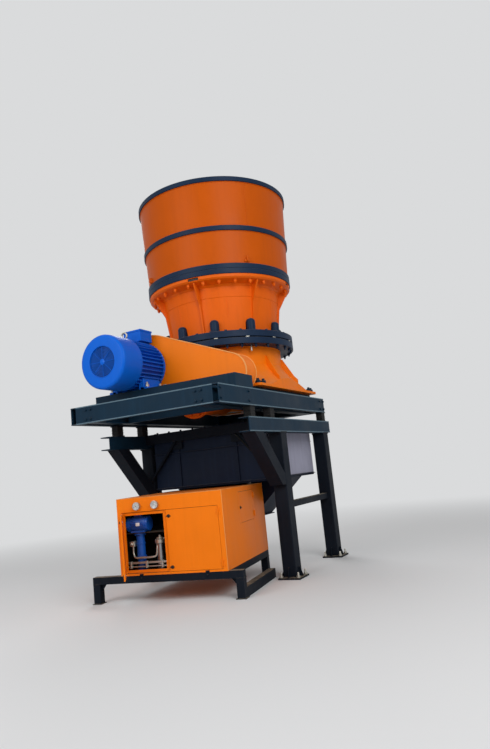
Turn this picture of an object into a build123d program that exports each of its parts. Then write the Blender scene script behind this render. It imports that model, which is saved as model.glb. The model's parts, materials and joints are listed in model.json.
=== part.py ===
from build123d import *
import os
from math import pi, sin, sqrt

# Millimetres, +Z up. The crusher's own axis is x = 0, y = 0 while the pieces are made, and
# the whole is moved at the end so that the origin is the middle of its footprint on the ground.
# +X is to the right along the front of the platform, and the front faces -Y.

# General clearances: between seated pieces, how far a welded piece runs into its neighbour, and
# how far a cutter stands out of what it cuts
SEAT_GAP = 0.3
WELD_OVERLAP = 30.0
CUT_OVER = 10.0
RING_EDGE = 5.0

# Feed bin, a slightly tapered round shell with three bands
BIN_HEIGHT = 1586.0
BIN_TOP_RADIUS = 1345.0
BIN_FOOT_RADIUS = 1272.0
BIN_WALL = 12.0
BAND_PROUD = 25.0
RIM_BAND_HEIGHT = 80.0
MIDDLE_BAND_DROP = 850.0
MIDDLE_BAND_HEIGHT = 85.0
BIN_FLANGE_HEIGHT = 86.0
BIN_FLANGE_WIDTH = 28.0

# Heavy ring bolted under the bin flange, on top of the crusher's top shell
SHELL_RING_HEIGHT = 88.0
SHELL_RING_BORE = 1150.0

# Top shell casting: a lip, an underside that runs in to the body, and a tapered body
LIP_RADIUS = 1284.0
LIP_DEPTH = 72.0
LIP_CHAMFER = 24.0
LIP_UNDERSIDE_DROP = 44.0
BODY_TOP_RADIUS = 1064.0
BODY_TAPER = 0.135
BODY_FILLET = 34.0
SEAM_DROP = 330.0
SEAM_STEP = 7.0
TOP_SHELL_WALL = 130.0
MOUTH_TAPER = 60.0
TOP_SHELL_HEIGHT = 946.0
SHELL_RIB_COUNT = 7
SHELL_RIB_ANGLE = -81.5
SHELL_RIB_THICKNESS = 26.0
SHELL_RIB_PROUD = 38.0
SHELL_RIB_LIFT = 20.0
GUSSET_DROP = 260.0
GUSSET_INSET = 20.0
GUSSET_TOE = 30.0
POCKET_COUNT = 10
POCKET_ANGLE = -106.0
POCKET_WIDTH = 150.0
POCKET_HEIGHT = 250.0
POCKET_DEPTH = 85.0
LIFT_SLOT_COUNT = 4
LIFT_SLOT_ANGLE = -81.0
LIFT_SLOT_WIDTH = 190.0
LIFT_SLOT_HEIGHT = 45.0
LIFT_SLOT_DEPTH = 60.0
LIFT_SLOT_DROP = 8.0

# The two clamp flanges between top and bottom shell
CLAMP_RADIUS = 1226.0
CLAMP_HEIGHT = 108.0
CLAMP_GAP = 16.0
CLAMP_SPIGOT_RADIUS = 1176.0
CLAMP_BORE = 860.0

# Bottom shell: round neck that runs out to a square foot, with a hub held by arms
NECK_RADIUS = 985.0
BOTTOM_SHELL_BORE = 860.0
SKIRT_HEIGHT = 430.0
NECK_HEIGHT = 298.0
SKIRT_FOOT_RADIUS = 1420.0
SKIRT_HOLLOW = 70.0
BASE_HALF_WIDTH = 1205.0
BASE_CORNER = 60.0
BASE_PLATE_HEIGHT = 40.0
SKIRT_INSET = 22.0
BASE_RIB_THICKNESS = 34.0
BASE_RIB_ANGLES = (-52.0, -18.0, 18.0, 52.0, 90.0, 128.0, 162.0, 198.0, 232.0)
BASE_RIB_DROP = 160.0
BASE_RIB_KNEE_DROP = 190.0
BASE_RIB_REACH = 210.0
BASE_RIB_PROUD = 24.0
SEAT_RAIL_HEIGHT = 95.0
SEAT_RAIL_WIDTH = 200.0
HUB_RADIUS = 390.0
HUB_BORE = 176.0
HUB_DROP = 150.0
HUB_RISE = 610.0
HUB_ARM_THICKNESS = 130.0
HUB_ARM_HEIGHT = 420.0
HUB_ARM_ANGLES = (30.0, 150.0, 270.0)
HUB_SOCKET_DEPTH = 130.0

# Countershaft housing, a round casting from the shell's front to the belt guard
COUNTERSHAFT_DROP = 28.0
COUNTERSHAFT_RADIUS = 270.0
COUNTERSHAFT_FLANGE_RADIUS = 345.0
COUNTERSHAFT_FLANGE_THICKNESS = 42.0

# Crushing chamber seen from above: spider, cap, concave liner, mantle and shaft
SPIDER_HUB_RADIUS = 270.0
SPIDER_HUB_HEIGHT = 400.0
SPIDER_ARM_WIDTH = 230.0
SPIDER_ARM_DEPTH = 360.0
SPIDER_CROWN = 60.0
SPIDER_SEAT_HEIGHT = 60.0
SPIDER_CAP_RADIUS = 330.0
SPIDER_CAP_HEIGHT = 150.0
SPIDER_CAP_RIM = 50.0
LINER_WALL = 60.0
LINER_MOUTH = 880.0
LINER_THROAT = 800.0
LINER_THROAT_HEIGHT = 400.0
LINER_DROP = 90.0
LINER_BACKING = 12.3
MANTLE_TOP_RADIUS = 330.0
MANTLE_FOOT_RADIUS = 770.0
MANTLE_DROP = 150.0
MANTLE_HEIGHT = 860.0
MANTLE_CURVE = 45.0
MANTLE_EDGE = 60.0
SHAFT_RADIUS = 168.0
SHAFT_LIFT = 20.0

# Platform frame of channel beams
PLATFORM_LEFT = -1298.0
PLATFORM_RIGHT = 1280.0
PLATFORM_FRONT = -2686.0
PLATFORM_BACK = 1305.0
PLATFORM_TOP_Z = 2855.0
PLATFORM_DEPTH = 260.0
CHANNEL_WIDTH = 95.0
CHANNEL_WEB = 12.0
CHANNEL_FLANGE = 16.0
CARRIER_X = 960.0
CARRIER_WIDTH = 180.0
CARRIER_WEB = 14.0
CROSS_FRONT_Y = -1860.0
CROSS_BACK_Y = 1040.0

# Bearer beams, resilient blocks and the stand
BLOCK_HEIGHT = 175.0
BEARER_DEPTH = 212.0
BEARER_WIDTH = 180.0
BEARER_FRONT = -2000.0
BEARER_BACK = 1300.0
STAND_OUTER_X = 1340.0
COLUMN_SIZE = 180.0
COLUMN_FRONT_Y = -870.0
COLUMN_BACK_Y = 1050.0
BLOCK_LENGTH = 150.0
BLOCK_WIDTH = 120.0
BLOCK_PLACES = (-1780.0, -1330.0, 420.0, 1180.0)
BLOCK_X = 1215.0
FOOT_PLATE_SIZE = 360.0
FOOT_PLATE_THICKNESS = 25.0
FOOT_BOLT_SPACING = 280.0
FOOT_BOLT_RADIUS = 15.0
STAND_CROSS_DEPTH = 150.0
STAND_CROSS_WIDTH = 90.0
STAND_CROSS_GAP = 12.0
BRACE_SIZE = 75.0
BRACE_LOW_Z = 330.0
BRACE_HIGH_Z = 1560.0
KNEE_LOW_Z = 1500.0
KNEE_FRONT_Y = -1820.0
KNEE_SIZE = 100.0

# Discharge chute between the columns: a box mouth, front and back plates that slope in first,
# and side plates that slope in lower down
CHUTE_HALF_X = 1060.0
CHUTE_HALF_Y = 950.0
CHUTE_MOUTH_HEIGHT = 354.0
CHUTE_WAIST_Z = 1480.0
CHUTE_WAIST_HALF_Y = 360.0
CHUTE_OUTLET_Z = 880.0
CHUTE_OUTLET_HALF_X = 400.0
CHUTE_WALL = 10.0
CHUTE_FLANGE = 60.0
CHUTE_FLANGE_THICKNESS = 14.0
CHUTE_OUTLET_FLANGE = 45.0

# Motor and drive
MOTOR_X = -600.0
MOTOR_SHAFT_HEIGHT = 412.0
MOTOR_FAN_END_Y = -2730.0
FAN_COVER_RADIUS = 410.0
FAN_COVER_LENGTH = 600.0
FAN_COVER_ROUND = 48.0
FAN_COVER_RECESS_RADIUS = 235.0
FAN_COVER_RECESS_DEPTH = 26.0
MOTOR_BODY_RADIUS = 345.0
MOTOR_FIN_HEIGHT = 55.0
MOTOR_FIN_THICKNESS = 9.0
MOTOR_FIN_COUNT = 40
MOTOR_FIN_ROOT = 8.0
MOTOR_BODY_LENGTH = 430.0
MOTOR_SHIELD_LENGTH = 50.0
MOTOR_SHIELD_PROUD = 30.0
MOTOR_SHAFT_RADIUS = 48.0
MOTOR_FOOT_SPACING = 600.0
MOTOR_FOOT_WIDTH = 130.0
MOTOR_FOOT_HEIGHT = 34.0
MOTOR_FOOT_INSET = 40.0
MOTOR_FOOT_WEB = 95.0
TERMINAL_BOX_WIDTH = 330.0
TERMINAL_BOX_LENGTH = 290.0
TERMINAL_BOX_Y = -1815.0
TERMINAL_BOX_HEIGHT = 185.0
TERMINAL_BOX_LID = 26.0
TERMINAL_BOX_LID_PROUD = 8.0
DRIVE_BASE_HEIGHT = 188.0
DRIVE_BASE_LEFT = -1230.0
DRIVE_BASE_RIGHT = 1185.0
DRIVE_BASE_FRONT = -2180.0
DRIVE_BASE_RAIL = 110.0
MOTOR_SLIDE_DEPTH = 60.0
GUARD_TO_BASE = 8.0

# Belt guard, a sheet-metal case with rounded ends over the two pulleys
GUARD_FRONT_Y = -1630.0
GUARD_THICKNESS = 330.0
GUARD_LIFT = 13.0
GUARD_RIGHT_RADIUS = 298.0
GUARD_RIGHT_X = 895.0
GUARD_RIGHT_RISE = 300.0
GUARD_LEFT_RADIUS = 556.0
GUARD_LEFT_X = -500.0
GUARD_LEFT_RISE = 575.0

# Lubrication cabinet on its skid
CABINET_X = 948.0
CABINET_Y = -2300.0
CABINET_YAW = 9.0
CABINET_WIDTH = 1622.0
CABINET_DEPTH = 1900.0
CABINET_FOOT_Z = 370.0
CABINET_TOP_Z = 1445.0
CABINET_WALL = 20.0
CABINET_BULKHEAD_DEPTH = 640.0
LEAF_FOOT_Z = 398.0
LEAF_TOP_Z = 1247.0
LEFT_LEAF_EDGE = 60.0
LEAF_SPLIT = 757.0
RIGHT_LEAF_EDGE = 70.0
DOOR_GAP = 5.0
DOOR_REBATE = 45.0
DOOR_THICKNESS = 20.0
REBATE_THICKNESS = 16.0
HINGE_RADIUS = 9.0
HINGE_OFFSET = 10.0
HINGE_STRAP = 6.0
HINGE_HEIGHT = 90.0
HINGE_INSET = 85.0
HINGE_LEAF = 34.0
LEFT_DOOR_OPEN = 62.0
SIDE_DOOR_START = 680.0
SIDE_DOOR_WIDTH = 680.0
SIDE_DOOR_FOOT_Z = 920.0
SIDE_DOOR_TOP_Z = 1372.0
SKID_BEAM_DEPTH = 100.0
SKID_BEAM_WIDTH = 110.0
SKID_OVERHANG = 470.0
SKID_RIGHT_OVERHANG = 205.0
RUNNER_HEIGHT = 135.0
RUNNER_LENGTH = 1390.0
SKID_LEG_WIDTH = 110.0
GAUGE_RADIUS = 56.0
GAUGE_DEPTH = 34.0
GAUGE_Z = 1328.0
GAUGE_PLACES = (-1296.0, -1011.0)

# Lubrication equipment in the open bay
PUMP_OFFSET = 60.0
PUMP_Y = 260.0
PUMP_MOTOR_Z = 900.0
PUMP_MOTOR_RADIUS = 105.0
PUMP_MOTOR_LENGTH = 330.0
PUMP_RADIUS = 62.0
FILTER_OFFSET = 150.0
FILTER_RADIUS = 58.0
FILTER_TOP_Z = 780.0

# Heights worked out from those above, from the platform up and then from the platform down
BASE_FOOT_Z = PLATFORM_TOP_Z + SEAT_RAIL_HEIGHT
BASE_TOP_Z = BASE_FOOT_Z + BASE_PLATE_HEIGHT
COUNTERSHAFT_Z = BASE_FOOT_Z - COUNTERSHAFT_DROP
HUB_TOP_Z = BASE_FOOT_Z + HUB_RISE
SKIRT_TOP_Z = BASE_TOP_Z + SKIRT_HEIGHT
NECK_TOP_Z = SKIRT_TOP_Z + NECK_HEIGHT
LOWER_CLAMP_TOP_Z = NECK_TOP_Z + CLAMP_HEIGHT
UPPER_CLAMP_FOOT_Z = LOWER_CLAMP_TOP_Z + CLAMP_GAP
TOP_SHELL_FOOT_Z = UPPER_CLAMP_FOOT_Z + CLAMP_HEIGHT
MANTLE_FOOT_Z = TOP_SHELL_FOOT_Z - MANTLE_DROP
MANTLE_TOP_Z = MANTLE_FOOT_Z + MANTLE_HEIGHT
SHELL_TOP_Z = TOP_SHELL_FOOT_Z + TOP_SHELL_HEIGHT
LIP_FOOT_Z = SHELL_TOP_Z - LIP_DEPTH
BODY_TOP_Z = LIP_FOOT_Z - LIP_UNDERSIDE_DROP - BODY_FILLET
SEAM_Z = SHELL_TOP_Z - SEAM_DROP
SPIDER_SEAT_Z = SHELL_TOP_Z - SPIDER_SEAT_HEIGHT
BIN_FOOT_Z = SHELL_TOP_Z + SHELL_RING_HEIGHT
BIN_FLANGE_TOP_Z = BIN_FOOT_Z + BIN_FLANGE_HEIGHT
BIN_TOP_Z = BIN_FOOT_Z + BIN_HEIGHT
PLATFORM_FOOT_Z = PLATFORM_TOP_Z - PLATFORM_DEPTH
BEARER_TOP_Z = PLATFORM_FOOT_Z - BLOCK_HEIGHT
BEARER_FOOT_Z = BEARER_TOP_Z - BEARER_DEPTH
CHUTE_RIM_Z = BEARER_TOP_Z + CHUTE_FLANGE_THICKNESS
CHUTE_SHOULDER_Z = CHUTE_RIM_Z - CHUTE_MOUTH_HEIGHT
GUARD_FOOT_Z = PLATFORM_TOP_Z + GUARD_LIFT
GUARD_RIGHT_Z = PLATFORM_TOP_Z + GUARD_RIGHT_RISE
GUARD_LEFT_Z = PLATFORM_TOP_Z + GUARD_LEFT_RISE

# Other sizes worked out from those above
SHELL_RING_RADIUS = BIN_FOOT_RADIUS + BIN_FLANGE_WIDTH
BIN_FLARE = (BIN_TOP_RADIUS - BIN_FOOT_RADIUS) / BIN_HEIGHT
BEARER_X = STAND_OUTER_X - BEARER_WIDTH / 2
COLUMN_X = STAND_OUTER_X - COLUMN_SIZE / 2
DRIVE_BASE_TOP_Z = PLATFORM_TOP_Z + DRIVE_BASE_HEIGHT
MOTOR_Z = DRIVE_BASE_TOP_Z + MOTOR_SHAFT_HEIGHT
GUARD_BACK_Y = GUARD_FRONT_Y + GUARD_THICKNESS
DRIVE_BASE_BACK = GUARD_FRONT_Y - GUARD_TO_BASE

# Where a round piece is placed from: the middle of its foot
UPRIGHT = (Align.CENTER, Align.CENTER, Align.MIN)


def bin_radius(z):
    """Outer radius of the bin shell at a height: it narrows evenly downwards."""
    return BIN_TOP_RADIUS - BIN_FLARE * (BIN_TOP_Z - z)


def body_radius(z):
    """Outer radius of the top shell's tapered body below its step."""
    step = SEAM_STEP if z < SEAM_Z else 0.0
    return BODY_TOP_RADIUS - BODY_TAPER * (BODY_TOP_Z - z) - step


def turned(points):
    """A solid of revolution about the vertical axis from a closed (radius, height) outline."""
    outline = make_face(Plane.XZ * Polyline(*points, close=True))
    return revolve(outline, Axis.Z, 360)


def ring(inner, outer, foot, top):
    """A plain ring, with its two outer edges broken by a small chamfer."""
    e = RING_EDGE
    side = [(outer - e, foot), (outer, foot + e), (outer, top - e), (outer - e, top)]
    return turned([(inner, foot), *side, (inner, top)])


def block(x0, x1, y0, y1, z0, z1):
    """A box between two opposite corners."""
    middle = Pos((x0 + x1) / 2, (y0 + y1) / 2, (z0 + z1) / 2)
    return middle * Box(x1 - x0, y1 - y0, z1 - z0)


def channel(length, depth, width, web, flange):
    """A channel along X, its web towards -Y on the plane y = 0 and its foot on z = 0."""
    points = [
        (0, 0),
        (width, 0),
        (width, flange),
        (web, flange),
        (web, depth - flange),
        (width, depth - flange),
        (width, depth),
        (0, depth),
    ]
    profile = make_face(Plane.YZ * Polyline(*points, close=True))
    return extrude(profile, length, dir=(1, 0, 0))


def joist(length, depth, width, web, flange):
    """An I-beam along Y, centred on x = 0, with its foot on z = 0."""
    half = width / 2
    core = web / 2
    side = [
        (half, 0),
        (half, flange),
        (core, flange),
        (core, depth - flange),
        (half, depth - flange),
        (half, depth),
    ]
    points = side + [(-x, z) for x, z in reversed(side)]
    profile = make_face(Plane.XZ * Polyline(*points, close=True))
    return extrude(profile, length, dir=(0, 1, 0))


def strut(start, end, width, depth):
    """A square-section bar between two points, its sides level with the ground across it."""
    line = Vector(*end) - Vector(*start)
    along = line.normalized()
    across = Vector(0, 0, 1).cross(along)
    plane = Plane(origin=start, x_dir=across.normalized(), z_dir=along)
    return extrude(plane * Rectangle(width, depth), line.length)


def feed_bin():
    return turned([
        (BIN_FOOT_RADIUS - BIN_WALL, BIN_FOOT_Z),
        (BIN_FOOT_RADIUS, BIN_FOOT_Z),
        (BIN_TOP_RADIUS, BIN_TOP_Z),
        (BIN_TOP_RADIUS - BIN_WALL, BIN_TOP_Z),
    ])


def bin_band(top, height):
    """A flat band welded round the bin, which follows the bin's taper."""
    foot = top - height
    inner_foot = bin_radius(foot) + SEAT_GAP
    inner_top = bin_radius(top) + SEAT_GAP
    outer = bin_radius(top) + BAND_PROUD
    e = RING_EDGE
    side = [(outer - e, foot), (outer, foot + e), (outer, top - e), (outer - e, top)]
    return turned([(inner_foot, foot), *side, (inner_top, top)])


def bin_flange():
    """The bolting flange at the foot of the bin."""
    inner = bin_radius(BIN_FLANGE_TOP_Z) + SEAT_GAP
    return ring(inner, SHELL_RING_RADIUS, BIN_FOOT_Z, BIN_FLANGE_TOP_Z)


def top_shell_ring():
    """The heavy ring between the bin and the top shell."""
    return ring(SHELL_RING_BORE, SHELL_RING_RADIUS, SHELL_TOP_Z, BIN_FOOT_Z)


def arch_pocket(angle):
    """The cutter for one round-topped bolt pocket above the clamp flange."""
    half = POCKET_WIDTH / 2
    straight = POCKET_HEIGHT - half
    outline = Rectangle(POCKET_WIDTH, straight, align=(Align.CENTER, Align.MIN))
    outline += Pos(0, straight) * Circle(half)
    reach = body_radius(TOP_SHELL_FOOT_Z) - POCKET_DEPTH
    plane = Plane(origin=(reach, 0, TOP_SHELL_FOOT_Z - 1), x_dir=(0, 1, 0), z_dir=(1, 0, 0))
    return Rot(0, 0, angle) * extrude(plane * outline, LIP_RADIUS - reach)


def lift_slot(angle):
    """The cutter for a lifting slot just under the heavy ring."""
    top = SHELL_TOP_Z - LIFT_SLOT_DROP
    reach = LIP_RADIUS - LIFT_SLOT_DEPTH
    half = LIFT_SLOT_WIDTH / 2
    cutter = block(reach, LIP_RADIUS + CUT_OVER, -half, half, top - LIFT_SLOT_HEIGHT, top)
    return Rot(0, 0, angle) * cutter


def shell_rib(angle):
    """One upright rib of the top shell, widened to a gusset under the lip."""
    lip = LIP_RADIUS - LIP_CHAMFER - GUSSET_INSET
    top = LIP_FOOT_Z + CUT_OVER
    knee = BODY_TOP_Z - GUSSET_DROP
    foot = TOP_SHELL_FOOT_Z + SHELL_RIB_LIFT
    points = [
        (body_radius(top) - WELD_OVERLAP, top),
        (lip, top),
        (lip, LIP_FOOT_Z - GUSSET_TOE),
        (body_radius(knee) + SHELL_RIB_PROUD, knee),
        (body_radius(foot) + SHELL_RIB_PROUD, foot + SHELL_RIB_PROUD),
        (body_radius(foot), foot),
        (body_radius(foot) - WELD_OVERLAP, foot),
    ]
    web = make_face(Plane.XZ * Polyline(*points, close=True))
    solid = extrude(web, SHELL_RIB_THICKNESS / 2, both=True)
    return Rot(0, 0, angle) * solid


def top_shell():
    """The top shell casting with its lip, gusseted ribs, bolt pockets and lifting slots."""
    foot = TOP_SHELL_FOOT_Z
    bore_foot = body_radius(foot) - TOP_SHELL_WALL
    outline = [
        (bore_foot, foot),
        (body_radius(foot), foot),
        (body_radius(SEAM_Z) - SEAM_STEP, SEAM_Z),
        (body_radius(SEAM_Z), SEAM_Z + SEAM_STEP),
        (BODY_TOP_RADIUS, BODY_TOP_Z),
        (BODY_TOP_RADIUS + BODY_FILLET, BODY_TOP_Z + BODY_FILLET),
        (LIP_RADIUS - LIP_CHAMFER, LIP_FOOT_Z),
        (LIP_RADIUS, LIP_FOOT_Z + LIP_CHAMFER),
        (LIP_RADIUS, SHELL_TOP_Z),
        (SHELL_RING_BORE, SHELL_TOP_Z),
        (SHELL_RING_BORE, SPIDER_SEAT_Z),
        (BODY_TOP_RADIUS - TOP_SHELL_WALL, SPIDER_SEAT_Z - MOUTH_TAPER),
    ]
    shell = turned(outline)
    for i in range(SHELL_RIB_COUNT):
        shell += shell_rib(SHELL_RIB_ANGLE + i * 360 / SHELL_RIB_COUNT)
    for i in range(POCKET_COUNT):
        shell -= arch_pocket(POCKET_ANGLE + i * 360 / POCKET_COUNT)
    for i in range(LIFT_SLOT_COUNT):
        shell -= lift_slot(LIFT_SLOT_ANGLE + i * 360 / LIFT_SLOT_COUNT)
    return shell


def upper_clamp_flange():
    """The dark flange under the top shell, with the spigot that keeps the groove open."""
    e = RING_EDGE
    top = TOP_SHELL_FOOT_Z
    foot = UPPER_CLAMP_FOOT_Z
    spigot = LOWER_CLAMP_TOP_Z
    return turned([
        (CLAMP_BORE, spigot),
        (CLAMP_SPIGOT_RADIUS, spigot),
        (CLAMP_SPIGOT_RADIUS, foot),
        (CLAMP_RADIUS - e, foot),
        (CLAMP_RADIUS, foot + e),
        (CLAMP_RADIUS, top - e),
        (CLAMP_RADIUS - e, top),
        (CLAMP_BORE, top),
    ])


def lower_clamp_flange():
    """The dark flange on top of the bottom shell's neck."""
    return ring(CLAMP_BORE, CLAMP_RADIUS, NECK_TOP_Z, LOWER_CLAMP_TOP_Z)


def skirt_radius(z):
    """Radius of the skirt's hollow flare at a height, by a circle through its top and foot."""
    run = SKIRT_FOOT_RADIUS - NECK_RADIUS
    rise = SKIRT_TOP_Z - BASE_TOP_Z
    share = (SKIRT_TOP_Z - z) / rise
    return NECK_RADIUS + run * share - SKIRT_HOLLOW * sin(pi * share)


def base_rib(angle):
    """An upright web of the bottom shell, from the neck out over the flare of the skirt."""
    top = NECK_TOP_Z - BASE_RIB_DROP
    knee = SKIRT_TOP_Z - BASE_RIB_KNEE_DROP
    foot = BASE_TOP_Z + CUT_OVER
    inside = NECK_RADIUS - WELD_OVERLAP
    points = [
        (inside, foot),
        (skirt_radius(foot), foot),
        (NECK_RADIUS + BASE_RIB_REACH, knee),
        (NECK_RADIUS + BASE_RIB_PROUD, top),
        (inside, top),
    ]
    web = make_face(Plane.XZ * Polyline(*points, close=True))
    return Rot(0, 0, angle) * extrude(web, BASE_RIB_THICKNESS / 2, both=True)


def bottom_shell():
    """The bottom shell: round neck, flared skirt trimmed square, foot plate, hub and arms."""
    foot = BASE_TOP_Z - 1
    middle_z = (SKIRT_TOP_Z + foot) / 2
    middle = (skirt_radius(middle_z), middle_z)
    flare = ThreePointArc((NECK_RADIUS, SKIRT_TOP_Z), middle, (SKIRT_FOOT_RADIUS, foot))
    rest = Polyline(
        (SKIRT_FOOT_RADIUS, foot),
        (BOTTOM_SHELL_BORE, foot),
        (BOTTOM_SHELL_BORE, NECK_TOP_Z),
        (NECK_RADIUS, NECK_TOP_Z),
        (NECK_RADIUS, SKIRT_TOP_Z),
    )
    shell = revolve(make_face(Plane.XZ * (flare + rest)), Axis.Z, 360)
    for angle in BASE_RIB_ANGLES:
        shell += base_rib(angle)
    half = BASE_HALF_WIDTH - SKIRT_INSET
    shell &= block(-half, half, -half, half, foot, NECK_TOP_Z)
    width = 2 * BASE_HALF_WIDTH
    square = Plane.XY.offset(BASE_FOOT_Z) * RectangleRounded(width, width, BASE_CORNER)
    plate = extrude(square, BASE_PLATE_HEIGHT)
    bore = Pos(0, 0, BASE_FOOT_Z) * Cylinder(BOTTOM_SHELL_BORE, BASE_PLATE_HEIGHT, align=UPRIGHT)
    shell += plate - bore
    shell += ring(HUB_BORE, HUB_RADIUS, PLATFORM_TOP_Z - HUB_DROP, HUB_TOP_Z)
    half = HUB_ARM_THICKNESS / 2
    start = HUB_RADIUS - WELD_OVERLAP
    reach = BOTTOM_SHELL_BORE + WELD_OVERLAP
    arm = block(start, reach, -half, half, BASE_FOOT_Z, BASE_FOOT_Z + HUB_ARM_HEIGHT)
    for angle in HUB_ARM_ANGLES:
        shell += Rot(0, 0, angle) * arm
    start = -(HUB_RADIUS - HUB_SOCKET_DEPTH)
    tunnel = Pos(0, start, COUNTERSHAFT_Z) * Rot(90, 0, 0)
    length = BASE_HALF_WIDTH + start + CUT_OVER
    shell -= tunnel * Cylinder(COUNTERSHAFT_RADIUS + SEAT_GAP, length, align=UPRIGHT)
    return shell


def crusher_seat_rails():
    """The two packing rails between the platform's carriers and the crusher's foot plate."""
    rails = []
    for side in (-1, 1):
        x = side * CARRIER_X
        half = SEAT_RAIL_WIDTH / 2
        rail = block(x - half, x + half, -BASE_HALF_WIDTH, BASE_HALF_WIDTH, PLATFORM_TOP_Z, BASE_FOOT_Z)
        rails.append(rail)
    return rails


def countershaft_housing():
    """The round housing that leaves the shell's front and ends at the guard."""
    start = -(HUB_RADIUS + SEAT_GAP)
    end = GUARD_BACK_Y + SEAT_GAP
    body = Pos(0, start, COUNTERSHAFT_Z) * Rot(90, 0, 0) * Cylinder(
        COUNTERSHAFT_RADIUS, start - end, align=UPRIGHT
    )
    flange_y = -(BASE_HALF_WIDTH + SEAT_GAP)
    flange = Pos(0, flange_y, COUNTERSHAFT_Z) * Rot(90, 0, 0) * Cylinder(
        COUNTERSHAFT_FLANGE_RADIUS, COUNTERSHAFT_FLANGE_THICKNESS, align=UPRIGHT
    )
    return body + flange


def spider():
    """The two-armed spider that carries the top bearing, seated in the top shell's mouth."""
    seat_z = SPIDER_SEAT_Z
    outer = sqrt(SHELL_RING_BORE**2 - SPIDER_ARM_WIDTH**2 / 4) - SEAT_GAP
    hub = Pos(0, 0, seat_z) * Cylinder(SPIDER_HUB_RADIUS, SPIDER_HUB_HEIGHT, align=UPRIGHT)
    side = [
        (-outer, seat_z + SEAT_GAP),
        (outer, seat_z + SEAT_GAP),
        (outer, seat_z + SPIDER_SEAT_HEIGHT),
        (SPIDER_HUB_RADIUS, seat_z + SPIDER_ARM_DEPTH),
        (-SPIDER_HUB_RADIUS, seat_z + SPIDER_ARM_DEPTH),
        (-outer, seat_z + SPIDER_SEAT_HEIGHT),
    ]
    arm = extrude(make_face(Plane.XZ * Polyline(*side, close=True)), SPIDER_ARM_WIDTH / 2, both=True)
    body = hub + arm
    bore = Cylinder(SHAFT_RADIUS + SEAT_GAP, SPIDER_HUB_HEIGHT - SPIDER_CROWN, align=UPRIGHT)
    return body - Pos(0, 0, seat_z) * bore


def spider_cap():
    """The domed cap over the top bearing."""
    foot = SPIDER_SEAT_Z + SPIDER_HUB_HEIGHT
    top = foot + SPIDER_CAP_HEIGHT
    r = SPIDER_CAP_RADIUS
    rim = foot + SPIDER_CAP_RIM
    rise = SPIDER_CAP_HEIGHT - SPIDER_CAP_RIM
    dome = (r**2 + rise**2) / (2 * rise)
    middle = top - dome + sqrt(dome**2 - r**2 / 4)
    crown = ThreePointArc((r, rim), (r / 2, middle), (0, top))
    base = Polyline((0, top), (0, foot), (r, foot), (r, rim))
    return revolve(make_face(Plane.XZ * (crown + base)), Axis.Z, 360)


def concave_liner():
    """The manganese liner inside the top shell, narrowing to the throat."""
    top = SPIDER_SEAT_Z - LINER_DROP
    foot = TOP_SHELL_FOOT_Z
    shell_top = BODY_TOP_RADIUS - TOP_SHELL_WALL - LINER_BACKING
    shell_foot = body_radius(foot) - TOP_SHELL_WALL - SEAT_GAP
    points = [
        (LINER_THROAT - LINER_WALL, foot),
        (shell_foot, foot),
        (shell_top, top),
        (shell_top - LINER_WALL, top),
        (LINER_MOUTH - LINER_WALL, foot + LINER_THROAT_HEIGHT),
    ]
    return turned(points)


def mantle():
    """The crushing cone with its gently hollow flank."""
    foot = MANTLE_FOOT_Z
    top = MANTLE_TOP_Z
    r0 = MANTLE_FOOT_RADIUS
    r1 = MANTLE_TOP_RADIUS
    middle = ((r0 + r1) / 2 - MANTLE_CURVE, (foot + top) / 2)
    edge = (r0, foot + MANTLE_EDGE)
    flank = ThreePointArc(edge, middle, (r1, top))
    bore = SHAFT_RADIUS + SEAT_GAP
    outline = Polyline((r1, top), (bore, top), (bore, foot), (r0 - MANTLE_EDGE, foot), edge) + flank
    return revolve(make_face(Plane.XZ * outline), Axis.Z, 360)


def main_shaft():
    """The shaft through mantle and hub, its head in the spider's bearing."""
    foot = PLATFORM_TOP_Z - HUB_DROP + SHAFT_LIFT
    top = SPIDER_SEAT_Z + SPIDER_HUB_HEIGHT - SPIDER_CROWN - SHAFT_LIFT
    return Pos(0, 0, foot) * Cylinder(SHAFT_RADIUS, top - foot, align=UPRIGHT)


def belt_guard():
    """The belt guard: a case drawn tight round two circles and cut flat at the foot."""
    left = Pos(GUARD_LEFT_X, GUARD_LEFT_Z) * Circle(GUARD_LEFT_RADIUS)
    right = Pos(GUARD_RIGHT_X, GUARD_RIGHT_Z) * Circle(GUARD_RIGHT_RADIUS)
    outline = make_hull((left + right).edges())
    corner = (Align.MIN, Align.MIN)
    left_edge = GUARD_LEFT_X - GUARD_LEFT_RADIUS
    under_left = Rectangle(2 * GUARD_LEFT_RADIUS, GUARD_LEFT_Z - GUARD_FOOT_Z, align=corner)
    outline += Pos(left_edge, GUARD_FOOT_Z) * under_left
    between = Rectangle(GUARD_RIGHT_X - GUARD_LEFT_X, GUARD_RIGHT_Z - GUARD_FOOT_Z, align=corner)
    outline += Pos(GUARD_LEFT_X, GUARD_FOOT_Z) * between
    plane = Plane(origin=(0, GUARD_BACK_Y, 0), x_dir=(1, 0, 0), z_dir=(0, -1, 0))
    case = extrude(plane * outline, GUARD_THICKNESS)
    right_edge = GUARD_RIGHT_X + GUARD_RIGHT_RADIUS
    lowest = min(GUARD_LEFT_Z - GUARD_LEFT_RADIUS, GUARD_RIGHT_Z - GUARD_RIGHT_RADIUS) - CUT_OVER
    below = block(left_edge, right_edge, GUARD_FRONT_Y, GUARD_BACK_Y, lowest, GUARD_FOOT_Z)
    return case - below


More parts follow.
